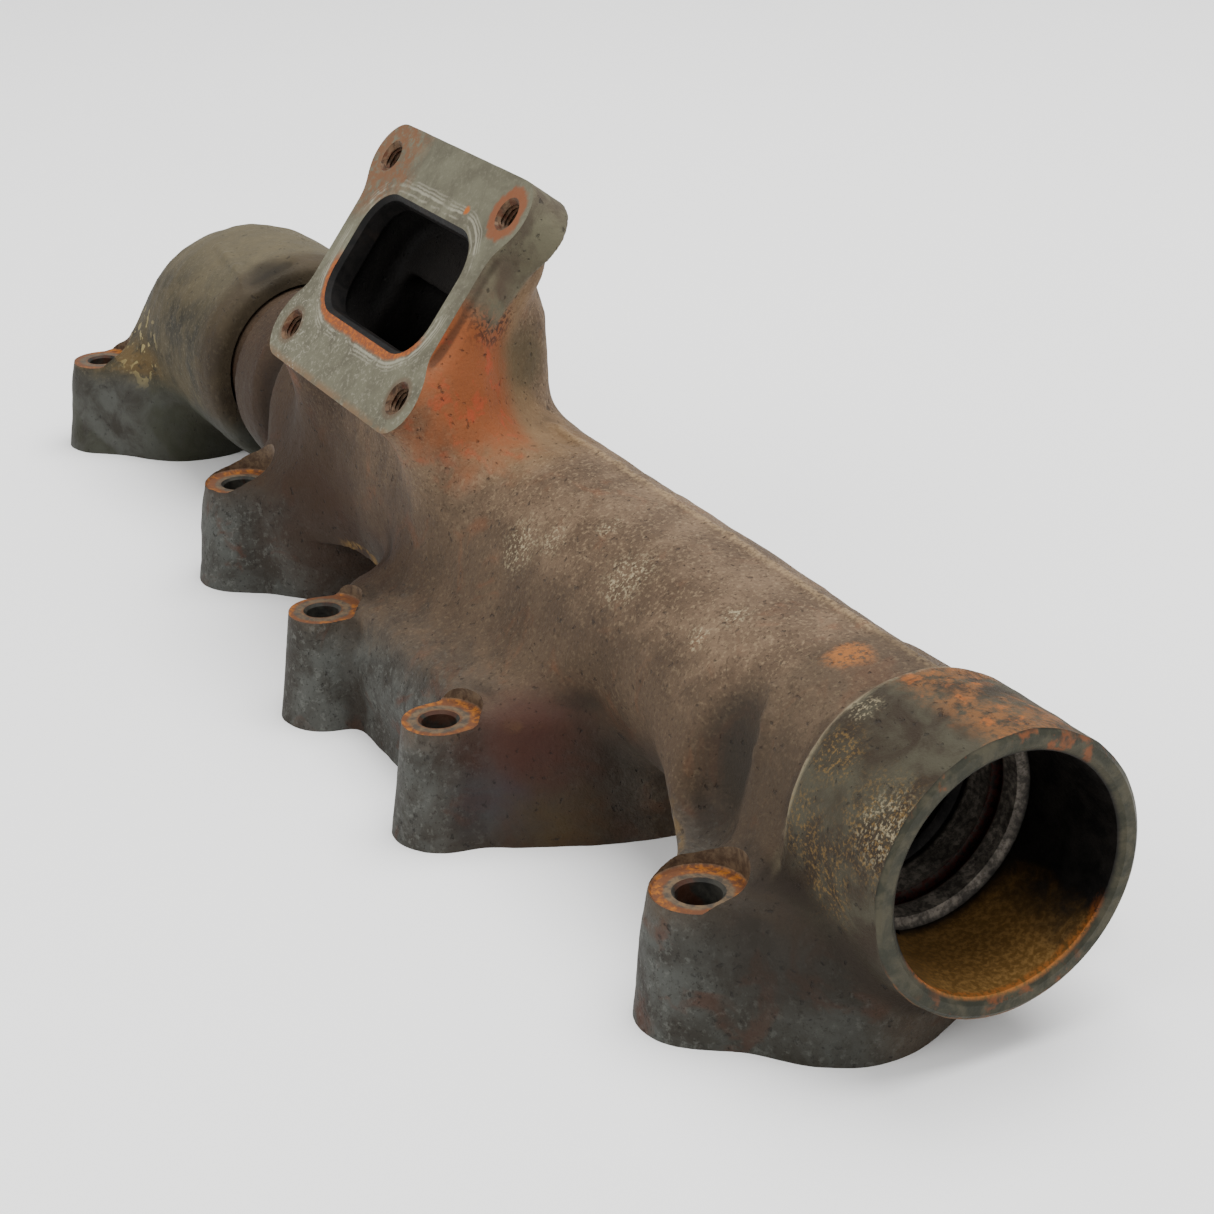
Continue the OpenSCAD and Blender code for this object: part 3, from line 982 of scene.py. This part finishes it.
def grain(t):
    """Height of a sand-cast skin: grains, pits and soft lumps."""
    fine = t.noise(0.9, 3, 0.6)
    lumps = t.noise(3.2, 4, 0.6, shift=40)
    pits = t.patches(0.36, 0.24, 2.2, 2, 0.5, 0.3, 90)
    return t.minus(t.plus(t.times(fine, 0.5), t.times(lumps, 0.8)), t.times(pits, 0.7)), pits


def speckles(colour, spots, tint, amount=0.9, shift=0.0):
    """Crusty light scale: fine grains inside ragged patches."""
    t = colour.look
    grains = t.patches(0.5, 0.64, 1.1, 3, 0.65, 0.2, 15 + shift)
    for i, (point, radius) in enumerate(spots):
        colour.coat(tint, t.blob(point, radius, 0.6, 0.3, shift=30 * i + shift), grains, amount)


def log_paint(t, mid, fine, upward, radius):
    """Sandy brown iron, with painted shade underneath and in the valley behind the flange, and darker beyond
    the neck.
    """
    broad = t.noise(55, 3, 0.5, 0.6, 7)
    sand = t.paint(t.ramp(t.plus(t.times(mid, 0.55), t.times(broad, 0.45)), 0.34, 0.66), SAND_DARK, SAND_MID)
    sand.coat(SAND_LIGHT, t.ramp(fine, 0.5, 0.7), 0.5)
    sand.coat(srgb(62, 50, 42), t.patches(0.46, 0.34, 1.2, 3, 0.6, 0.0, 61), 0.5)
    # Painted shade: darker towards the underside
    height_angle = t.math("DIVIDE", upward, radius)
    sand.coat(srgb(66, 54, 44), t.ramp(t.jitter(height_angle, mid, 0.5), 0.9, 0.2), 0.62)
    sand.coat(RUST, t.patches(0.55, 0.72, 20, 5, 0.6, 1.0, 66), 0.2)
    seam = t.math("ABSOLUTE", t.minus(t.y, on_log(0, SEAM)[1]))
    seam = t.times(
        t.ramp(seam, 2.0, 0.8), t.ramp(upward, 28, 31), t.ramp(t.x, -60, -40), t.ramp(fine, 0.36, 0.55),
    )
    sand.coat(srgb(184, 160, 128), seam, 0.45)
    # Warmer and darker left of the turbocharger neck
    sand.coat(srgb(50, 37, 29), t.ramp(t.x, -90, -160), 0.72)
    sand.coat(srgb(66, 57, 48), t.ramp(t.x, 132, 142), 0.5)
    # Painted shade in the valley between the bead and the body
    valley = t.times(t.ramp(t.x, BEAD_X + 4, BEAD_X + 10), t.ramp(t.x, BODY_X, BODY_X - 6))
    sand.coat(srgb(38, 29, 23), valley, 0.6)
    return sand


def flank_paint(t, mid):
    """Cooler, darker and pitted flanks of the port blocks."""
    flank = t.paint(t.ramp(mid, 0.35, 0.65), FLANK_DARK, FLANK)
    flank.coat(FLANK_LIGHT, t.patches(0.52, 0.68, 2.4, 4, 0.7, 0.2, 52), 0.5)
    flank.coat(RUST_DARK, t.patches(0.54, 0.66, 20, 4, 0.6, 0.8, 75), 0.5)
    flank.coat(srgb(30, 28, 26), t.patches(0.44, 0.34, 1.2, 4, 0.7, 0.2, 83), 0.6)
    return flank


def block_stains(t, colour):
    # Brown shoulders where the skirts leave the blocks
    for x in (PORTS[1][0] + 34, PORTS[2][0] - 76):
        colour.coat(srgb(62, 45, 35), t.blob((x, -16, 28), 28, 0.6, 0.2), 0.8)
    # Painted shade low on the front beside the middle port, and heat tints there
    right = MIDDLE_BOLTS[2][0]
    shade = t.times(
        t.ramp(t.x, right + 8, right + 20), t.ramp(t.x, right + 78, right + 62), t.ramp(t.z, 52, 38),
        t.ramp(t.y, 4, -12),
    )
    colour.coat(srgb(54, 42, 34), shade, 0.8)
    colour.coat(PURPLE, t.blob((right + 22, -34, 34), 17, 0.7, 0.25, shift=5), 0.8)
    colour.coat(BLUE, t.blob((right + 20, -42, 14), 10, 0.7, 0.3, shift=11), 0.55)
    colour.coat(srgb(78, 62, 34), t.blob((right + 38, -30, 6), 15, 0.7, 0.3, shift=17), 0.7)


def bell_paint(t, mid):
    """Grey-green bell of the open socket, with rust on top and painted shade underneath."""
    bell = t.paint(t.ramp(mid, 0.35, 0.65), BELL_DARK, BELL)
    # Painted shade on the bell's underside
    bell.coat(BELL_DARK, t.ramp(t.z, LOG_Z - 4, LOG_Z - 26), 0.6)
    rusty = t.jitter(t.z, t.noise(16, 5, 0.65, 0.5, 44), 26)
    band = t.times(t.ramp(rusty, LOG_Z + 33.5, LOG_Z + 38.5), t.ramp(t.y, LOG_Y - 12, LOG_Y - 2))
    bell.coat(srgb(144, 98, 60), band, t.patches(0.36, 0.6, 4, 5, 0.7, 0.3, 19), 0.75)
    bell.coat(RUST_BRIGHT, band, t.patches(0.56, 0.68, 5, 4, 0.6, 0.3, 12), 0.5)
    return bell


def bell_coats(t, colour, mid, radius):
    """The bell, the painted highlight round its back and the painted shade below it."""
    colour.coat(bell_paint(t, mid), t.ramp(t.x, BELL_X + 0.5, BELL_X + 2.5), t.ramp(radius, 46, 41))
    # Painted shade low in front, below the bell
    colour.coat(
        srgb(44, 44, 38), t.ramp(t.x, BELL_X - 8, BELL_X + 14), t.ramp(t.z, 44, 30), t.ramp(t.y, 6, -14), 0.4,
    )
    # Painted highlight: a pale line round the back edge of the bell
    colour.coat(
        SCALE_AND_HIGHLIGHT_WHITE, t.ramp(t.x, BELL_X - 2.5, BELL_X + 0.5), t.ramp(t.x, BELL_X + 4, BELL_X + 1.5),
        t.ramp(mid, 0.4, 0.6), t.ramp(radius, 46, 41), 0.4,
    )
    # Painted shade in the crease under the bell
    crease = t.blob((BELL_X + 12, LOG_Y - 45, 31), 19, 0.6, 0.15, (0.75, 1, 1), 13)
    colour.coat(srgb(42, 36, 31), crease, t.ramp(radius, 38.5, 41), 0.7)


def neck_rust(t, colour):
    """Rust on the neck's sides, greener behind."""
    for side in (1, -1):
        face = t.ramp(t.times(t.minus(t.x, TURBO_C[0]), side), 42, 46)
        face = t.times(face, t.ramp(t.x, BELL_X, BELL_X - 60))
        red = t.blob((TURBO_C[0] + side * 47, 8, 108), 30, 0.45, 0.25, shift=33)
        colour.coat(
            GREEN_BROWN, face, t.ramp(t.y, 60, 10),
            t.blob((TURBO_C[0] + side * 47, 26, 100), 34, 0.5, 0.2, shift=3), 0.8,
        )
        colour.coat(RUST, face, red, t.ramp(t.y, 24, 14), 0.95)
        colour.coat(
            srgb(178, 84, 56), face, red, t.patches(0.52, 0.66, 7, 4, 0.6, 0.4, 71), t.ramp(t.y, 22, 10), 0.8,
        )
        pit = t.blob((TURBO_C[0] + side * 47, 12, 125), 10, 0.4, 0.15, shift=8)
        colour.coat(srgb(66, 44, 36), pit, t.patches(0.46, 0.56, 1.5, 2, 0.5, 0.2, 5), 0.85)
        colour.coat(srgb(84, 78, 60), t.blob((TURBO_C[0] + side * 45, 27, 107), 10, 0.6, 0.2), 0.65)


def flange_edge(t, colour, mid):
    """The flange's edges stay the grey of its face."""
    plane = t.plus(
        t.times(t.minus(t.y, TURBO_C[1]), TURBO_N[1]), t.times(t.minus(t.z, TURBO_C[2]), TURBO_N[2]),
    )
    plate = t.times(t.ramp(plane, -TURBO_T - 1, -TURBO_T + 1.5), t.ramp(t.plus(t.z, t.y), 128, 142))
    colour.coat(t.mix(t.ramp(mid, 0.34, 0.66), srgb(88, 82, 74), srgb(116, 116, 102)), plate, 0.9)


def crusts(t, colour, fine):
    """Patches of pale scale and ochre rust on the log and the bell."""
    speckles(
        colour,
        [
            (on_log(0, 32), 8), (on_log(56, 50), 8.5), (on_log(104, 66), 4), (on_log(30, 66), 4),
            (on_log(100, 47), 4), (on_log(14, 44), 5),
        ], SCALE_AND_HIGHLIGHT_WHITE, 0.6,
    )
    speckles(
        colour,
        [
            (on_log(204, 28, BELL_R), 12), (on_log(178, 42, BELL_R), 7), (on_log(176, 12, BELL_R), 8),
            (on_log(190, 0, BELL_R), 9),
        ], OCHRE, 0.6, 9.0,
    )
    speckles(colour, [(on_log(207, 30, BELL_R), 9), (on_log(174, 62, BELL_R), 4)], SCALE_AND_HIGHLIGHT_WHITE, 0.5, 21.0)
    colour.coat(
        srgb(176, 112, 60), t.blob(on_log(146, 82), 5.5, 0.6, 0.4, shift=2), t.ramp(fine, 0.34, 0.56), 0.8,
    )


def casting_skin():
    t = Look("casting_skin", 0.78)
    height, pits = grain(t)
    relief = t.attribute("relief")
    inside = t.attribute("inside")
    mid, fine = t.noise(15, 5, 0.62, 0.5, 21), t.noise(1.3, 3, 0.6, 0.0, 3)
    across = t.minus(t.y, LOG_Y)
    upward = t.minus(t.z, LOG_Z)
    radius = t.math("SQRT", t.plus(t.times(across, across), t.times(upward, upward)))
    colour = log_paint(t, mid, fine, upward, radius)
    low = t.ramp(t.jitter(t.z, mid, 26), 47, 27)
    front = t.ramp(t.y, 6, -14)
    colour.coat(flank_paint(t, mid), low, t.plus(t.times(front, 0.65), 0.3))
    block_stains(t, colour)
    bell_coats(t, colour, mid, radius)
    neck_rust(t, colour)
    flange_edge(t, colour, mid)
    crusts(t, colour, fine)
    # Painted shade in the hollow beside the rib
    colour.coat(srgb(50, 46, 42), t.blob(on_log(132, 14), 12.5, 0.5, 0.08, (1.25, 0.9, 0.52), shift=4), 0.85)
    # Worn outer edges go yellow-brown, hollows are darkened as painted shade, and pits gather soot
    edges = t.times(t.ramp(relief, 0.55, 1.3), t.patches(0.42, 0.6, 5, 4, 0.6, 0.3, 27), low)
    colour.coat(OCHRE, edges, 0.65)
    colour.coat(srgb(46, 38, 32), t.ramp(relief, -0.12, -0.75), 0.6)
    colour.coat(SOOT, pits, 0.55)
    # Near black on the skin facing the gas: soot, and painted shade inside the passages
    colour.coat(BLACK, inside, 0.96)
    rough = t.plus(t.times(mid, 0.3), 0.58)
    return t.finish(colour, rough, height, 0.6, 0.9)


def elbow_skin():
    t = Look("elbow_skin", 0.75)
    height, pits = grain(t)
    relief, inside = t.attribute("relief"), t.attribute("inside")
    mid = t.noise(14, 5, 0.6, 0.5, 31)
    colour = t.paint(t.ramp(mid, 0.34, 0.66), OLIVE_DARK, OLIVE)
    colour.coat(OLIVE_LIGHT, t.patches(0.52, 0.7, 1.6, 3, 0.6, 0, 8), 0.4)
    # Painted light: lighter towards the top
    colour.coat(OLIVE_LIGHT, t.ramp(t.z, LOG_Z + 16, LOG_Z + 40), 0.55)
    colour.coat(srgb(64, 53, 43), t.ramp(t.x, COLLAR_X - 20, COLLAR_X - 5), 0.65)
    flank = t.paint(t.ramp(mid, 0.35, 0.65), FLANK_DARK, FLANK)
    flank.coat(srgb(54, 58, 46), t.patches(0.5, 0.62, 26, 3, 0.5, 0.6, 61), 0.5)
    low = t.ramp(t.jitter(t.z, mid, 18), 40, 28)
    colour.coat(flank, low, 0.9)
    under = t.times(t.ramp(t.z, 44, 16), t.ramp(t.x, PORTS[0][0] + 4, PORTS[0][0] + 34))
    colour.coat(srgb(48, 50, 38), under, 0.7)
    # Ochre line where the elbow meets its block, and a few pale paint dabs
    line = t.times(
        t.ramp(t.z, 34, 38), t.ramp(t.z, 50, 42), t.patches(0.4, 0.55, 6, 4, 0.6, 0.4, 18),
        t.ramp(t.y, 14, -4), t.ramp(t.x, PORTS[0][0] + 30, PORTS[0][0] + 14),
    )
    colour.coat(OCHRE, line, 0.3)
    dabs = t.times(
        t.blob((PORTS[0][0] + 8, -14, 46), 15, 0.5, 0.2, shift=14),
        t.patches(0.58, 0.62, 4.5, 2, 0.5, 0.4, 82),
    )
    colour.coat(srgb(170, 158, 116), dabs, 0.8)
    edges = t.times(t.ramp(relief, 0.55, 1.3), t.patches(0.42, 0.6, 5, 4, 0.6, 0.3, 27))
    colour.coat(OCHRE, edges, low, t.ramp(t.x, COLLAR_X - 50, COLLAR_X - 60), 0.5)
    # Painted shade in the hollows
    colour.coat(srgb(40, 36, 28), t.ramp(relief, -0.12, -0.75), 0.55)
    # Painted shade in the pocket in the collar's rim
    colour.coat(srgb(36, 33, 28), t.blob(on_log(COLLAR_X - 4, 72, COLLAR_R), 9, 0.5, 0.1), 0.6)
    colour.coat(SOOT, pits, 0.5)
    # Near black on the skin facing the gas: soot, and painted shade inside the passages
    colour.coat(BLACK, inside, 0.96)
    return t.finish(colour, t.plus(t.times(mid, 0.3), 0.56), height, 0.5, 0.7)


def seat_look():
    """Spot-faced bolt seats: a grey washer print inside a ring of rust."""
    t = Look("bolt_seat", 0.6, 0.25)
    ring = None
    for x, y, _ in END_BOLTS + MIDDLE_BOLTS + ELBOW_BOLTS:
        r = t.far((x, y, SEAT_Z), (1, 1, 0))
        ring = r if ring is None else t.math("MINIMUM", ring, r)
    wobble = t.jitter(ring, t.noise(3, 4, 0.6, 0.3), 2.4)
    dirt = t.noise(2.2, 4, 0.65, 0.4, 9)
    colour = t.paint(t.ramp(dirt, 0.35, 0.65), srgb(84, 78, 74), srgb(124, 106, 88))
    colour.coat(srgb(120, 76, 52), t.ramp(wobble, 8.6, 9.8), 0.85)
    patch = t.patches(0.42, 0.56, 9, 4, 0.65, 0.4, 64)
    colour.coat(srgb(190, 120, 48), t.ramp(wobble, 8.8, 10.4), t.ramp(dirt, 0.42, 0.6), patch, 0.8)
    colour.coat(srgb(112, 72, 48), t.ramp(wobble, 7.2, 6.2), 0.6)
    wall = t.mix(t.ramp(dirt, 0.35, 0.65), srgb(92, 76, 66), srgb(128, 110, 94))
    colour.coat(wall, t.ramp(t.z, SEAT_Z + 0.2, SEAT_Z + 1.0))
    return t.finish(colour, t.plus(t.times(dirt, 0.3), 0.45), t.noise(1.4, 4, 0.6), 0.25, 0.5)


def dark_metal(name, dark, light, rust, amount, roughness=0.6, metallic=0.2, size=6.0):
    """Stained machined or sooty iron: two tones with rust in patches."""
    t = Look(name, roughness, metallic)
    mid = t.noise(size, 5, 0.65, 0.6)
    colour = t.paint(t.ramp(mid, 0.35, 0.65), dark, light)
    colour.coat(rust, t.patches(0.5, 0.64, size * 1.7, 5, 0.6, 0.4, 50), amount)
    return t.finish(colour, t.plus(t.times(mid, 0.3), roughness - 0.15), t.noise(1.1, 4, 0.6, 0, 5), 0.2, 0.5)


def socket_look():
    """Inside of the open socket: worn bands, dark walls and olive rust at the bottom."""
    t = Look("socket_bore", 0.55, 0.35)
    mid, fine = t.noise(8, 5, 0.65, 0.5, 3), t.noise(1.4, 4, 0.65, 0.2, 12)
    colour = t.paint(t.ramp(mid, 0.35, 0.7), BLACK, SOOT)
    step = STEP_X
    base = t.times(
        t.ramp(t.plus(t.z, t.times(mid, 16)), LOG_Z - 8, LOG_Z - 24), t.ramp(t.x, step - 2, step + 4),
    )
    colour.coat(t.mix(t.ramp(fine, 0.4, 0.65), srgb(136, 104, 60), srgb(178, 140, 88)), base)
    lip = t.times(
        t.ramp(t.plus(t.x, t.times(mid, 4)), MOUTH_X - 2.5, MOUTH_X - 0.6),
        t.ramp(t.z, LOG_Z - 12, LOG_Z - 22),
    )
    colour.coat(RUST_BRIGHT, lip, t.ramp(fine, 0.38, 0.55), 0.6)
    worn = t.math(
        "MAXIMUM", t.times(t.ramp(t.x, step - 22, step - 20.5), t.ramp(t.x, step - 12.6, step - 13.4)),
        t.times(t.ramp(t.x, step - 9, step - 8.4), t.ramp(t.x, step - 1.4, step - 2.4)),
    )
    worn = t.times(worn, t.plus(t.times(t.ramp(mid, 0.38, 0.6), 0.5), 0.5))
    colour.coat(srgb(168, 162, 160), worn, t.plus(t.times(t.ramp(fine, 0.4, 0.62), 0.6), 0.35))
    stain = t.times(t.ramp(t.math("ABSOLUTE", t.minus(t.x, step - 11)), 3.4, 1.8), t.ramp(fine, 0.4, 0.6))
    colour.coat(srgb(70, 30, 28), stain)
    rim = t.ramp(t.x, MOUTH_X - 1.7, MOUTH_X - 0.6)
    colour.coat(t.mix(t.ramp(mid, 0.4, 0.62), srgb(60, 62, 56), srgb(84, 82, 72)), rim)
    edge = t.math("MAXIMUM", t.ramp(t.z, LOG_Z + 20, LOG_Z + 30), t.ramp(t.z, LOG_Z - 24, LOG_Z - 32))
    colour.coat(RUST, rim, edge, t.patches(0.54, 0.66, 6, 4, 0.6, 0.3, 22), 0.6)
    return t.finish(colour, t.plus(t.times(fine, 0.4), 0.35), fine, 0.3, 0.6)


def turbo_look():
    """Machined flange face: gasket prints round the opening, scratches and rust."""
    t = Look("turbo_face", 0.5, 0.35)
    u = t.minus(t.x, TURBO_C[0])
    v = t.plus(t.times(t.minus(t.y, TURBO_C[1]), TURBO_V[1]), t.times(t.minus(t.z, TURBO_C[2]), TURBO_V[2]))
    mid, fine = t.noise(12, 5, 0.6, 0.5, 4), t.noise(1.5, 4, 0.7, 0.2, 7)
    colour = t.paint(t.ramp(mid, 0.34, 0.66), FACE_DARK, FACE)
    colour.coat(FACE_LIGHT, t.ramp(fine, 0.5, 0.66), t.plus(t.times(t.ramp(v, 10, -30), 0.4), 0.25))
    colour.coat(
        srgb(150, 104, 66), t.ramp(v, -TURBO_DV - LUG_R + 3.5, -TURBO_DV - LUG_R + 0.5),
        t.ramp(mid, 0.36, 0.55), 0.7,
    )
    # Distance outside the rounded opening, then thin broken arcs that follow it
    a = t.math("MAXIMUM", t.minus(t.math("ABSOLUTE", u), OPEN_X / 2 - 16), 0)
    b = t.math("MAXIMUM", t.minus(t.math("ABSOLUTE", v), OPEN_V / 2 - 16), 0)
    out = t.minus(t.math("SQRT", t.plus(t.times(a, a), t.times(b, b))), 16)
    broken = t.noise(13, 4, 0.6, 0.4, 36)
    for i, (ring, wide, bright) in enumerate(
        ((5.8, 0.45, 0.7), (7.1, 0.3, 0.5), (8.3, 0.3, 0.4), (3.4, 0.35, 0.45))
    ):
        line = t.ramp(t.math("ABSOLUTE", t.minus(t.jitter(out, mid, 2.6), ring)), wide * 1.6, wide * 0.4)
        colour.coat(FACE_LIGHT, line, t.ramp(broken, 0.4 + 0.03 * i, 0.58), bright)
    outer = t.ramp(t.plus(out, t.times(mid, 3)), 8.5, 12)
    colour.coat(srgb(112, 112, 98), outer, 0.35)
    # Scratched lower corner
    scratch = t.times(
        t.patches(0.56, 0.62, 2.6, 5, 0.75, 1.6, 57),
        t.blob((TURBO_C[0] - 44, *(TURBO_C - 38 * TURBO_V)[1:]), 20, 0.5, 0.2),
    )
    colour.coat(FACE_LIGHT, scratch, 0.8)
    # Rust: the lip under the opening, the far corner and round the near upper hole
    lip = t.times(t.ramp(t.jitter(out, mid, 3), 5.4, 3.6), t.ramp(t.plus(v, t.times(u, 0.12)), -6, -14))
    colour.coat(RUST, lip)
    colour.coat(RUST_BRIGHT, lip, t.ramp(fine, 0.45, 0.6))
    top_left = TURBO_C - TURBO_DX * ACROSS + TURBO_DV * TURBO_V
    colour.coat(
        srgb(136, 92, 62), t.blob(top_left, 19, 0.5, 0.35, shift=6), t.patches(0.36, 0.55, 3, 5, 0.7, 0.3, 2),
        0.85,
    )
    top_right = TURBO_C + TURBO_DX * ACROSS + TURBO_DV * TURBO_V
    colour.coat(RUST, t.ramp(t.jitter(t.far(top_right), t.noise(3, 4, 0.6), 5), 10.5, 8.5), 0.85)
    for corner in (TURBO_HOLES[0], TURBO_HOLES[1]):
        colour.coat(srgb(110, 92, 76), t.ramp(t.far(corner + TURBO_N * HOLE_DEPTH), 8.2, 6.6), 0.6)
    spot = TURBO_C + 22 * ACROSS + 29 * TURBO_V
    colour.coat(RUST_BRIGHT, t.ramp(t.plus(t.far(spot), t.times(t.noise(2, 3), 1.5)), 2.8, 1.6))
    return t.finish(
        colour, t.plus(t.times(fine, 0.3), 0.36), t.plus(t.times(fine, 0.5), t.noise(6, 4, 0.6, 0.4, 90)),
        0.18, 0.5,
    )


def floor_look():
    t = Look("floor_paint", 0.85)
    pale = t.mix(t.noise(300, 2), (0.93, 0.93, 0.925, 1), (0.96, 0.96, 0.955, 1))
    return t.finish(pale, albedo=(1, 1, 1))


look = {
    "casting": casting_skin(), "elbow": elbow_skin(), "seat": seat_look(), "turbo_face": turbo_look(),
    "bore": socket_look(),
    # Port and opening walls near black: soot, and painted shade inside the passages
    "gas": dark_metal("gas_wall", srgb(14, 14, 15), srgb(32, 30, 31), srgb(44, 36, 32), 0.5),
    "hole": dark_metal("bolt_hole", srgb(46, 46, 46), srgb(74, 74, 72), RUST_DARK, 0.6),
    "thread": dark_metal("tapped_thread", srgb(64, 48, 38), srgb(120, 96, 78), RUST_DARK, 0.7, 0.5, 0.4, 3.0),
    "machined": dark_metal("machined_iron", srgb(86, 82, 76), srgb(122, 118, 108), RUST, 0.5, 0.5, 0.4),
}
ring_look = dark_metal("ring_metal", srgb(74, 70, 68), srgb(128, 124, 118), RUST_DARK, 0.5, 0.45, 0.7, 5.0)

centre = centre_casting(look)
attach(centre, "centre")
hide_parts("centre_section")

elbow = elbow_casting(look)
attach(elbow, "elbow")
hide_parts("elbow_section")

for i in (1, 2, 3):
    ring = frame["nodes"]["seal_ring_%d" % i]
    ring.data.materials.clear()
    ring.data.materials.append(ring_look)

# ---------------------------------------------------------------- stage
bpy.ops.mesh.primitive_plane_add(size=14, location=(0, 0, 0))
floor = bpy.context.object
floor.name = "floor"
floor.data.materials.append(floor_look())

AIM = Vector((-0.08, 0.02, 0.06))


def light(name, place, size, energy):
    lamp = bpy.data.lights.new(name, "AREA")
    lamp.size, lamp.energy = size, energy
    obj = bpy.data.objects.new(name, lamp)
    bpy.context.scene.collection.objects.link(obj)
    obj.location = place
    obj.rotation_euler = (AIM - Vector(place)).to_track_quat("-Z", "Y").to_euler()


light("overhead", (0.0, 0.6, 2.4), 2.0, 92)
light("front_left", (0.3, -2.2, 1.5), 1.6, 28)
light("near_right", (2.2, 0.2, 1.2), 1.4, 9)

world = bpy.data.worlds.new("world")
bpy.context.scene.world = world
world.use_nodes = True
world.node_tree.nodes["Background"].inputs["Color"].default_value = (1, 1, 1, 1)
world.node_tree.nodes["Background"].inputs["Strength"].default_value = 0.92

EYE = (0.6384, -0.3028, 0.3557)
LENS, SENSOR = 74.06, 36
AZIMUTH, ELEVATION, ROLL = (math.radians(a) for a in (62.95, 23.51, -1.21))
back = Vector(
    (math.sin(AZIMUTH) * math.cos(ELEVATION), -math.cos(AZIMUTH) * math.cos(ELEVATION), math.sin(ELEVATION))
)
level = Vector((0, 0, 1)).cross(back).normalized()
rise = back.cross(level)
right = level * math.cos(ROLL) + rise * math.sin(ROLL)
up = rise * math.cos(ROLL) - level * math.sin(ROLL)
lens = bpy.data.cameras.new("camera")
lens.lens, lens.sensor_width = LENS, SENSOR
camera = bpy.data.objects.new("camera", lens)
bpy.context.scene.collection.objects.link(camera)
turn = Matrix((right, up, back)).transposed().to_4x4()
camera.matrix_world = Matrix.Translation(EYE) @ turn
bpy.context.scene.camera = camera
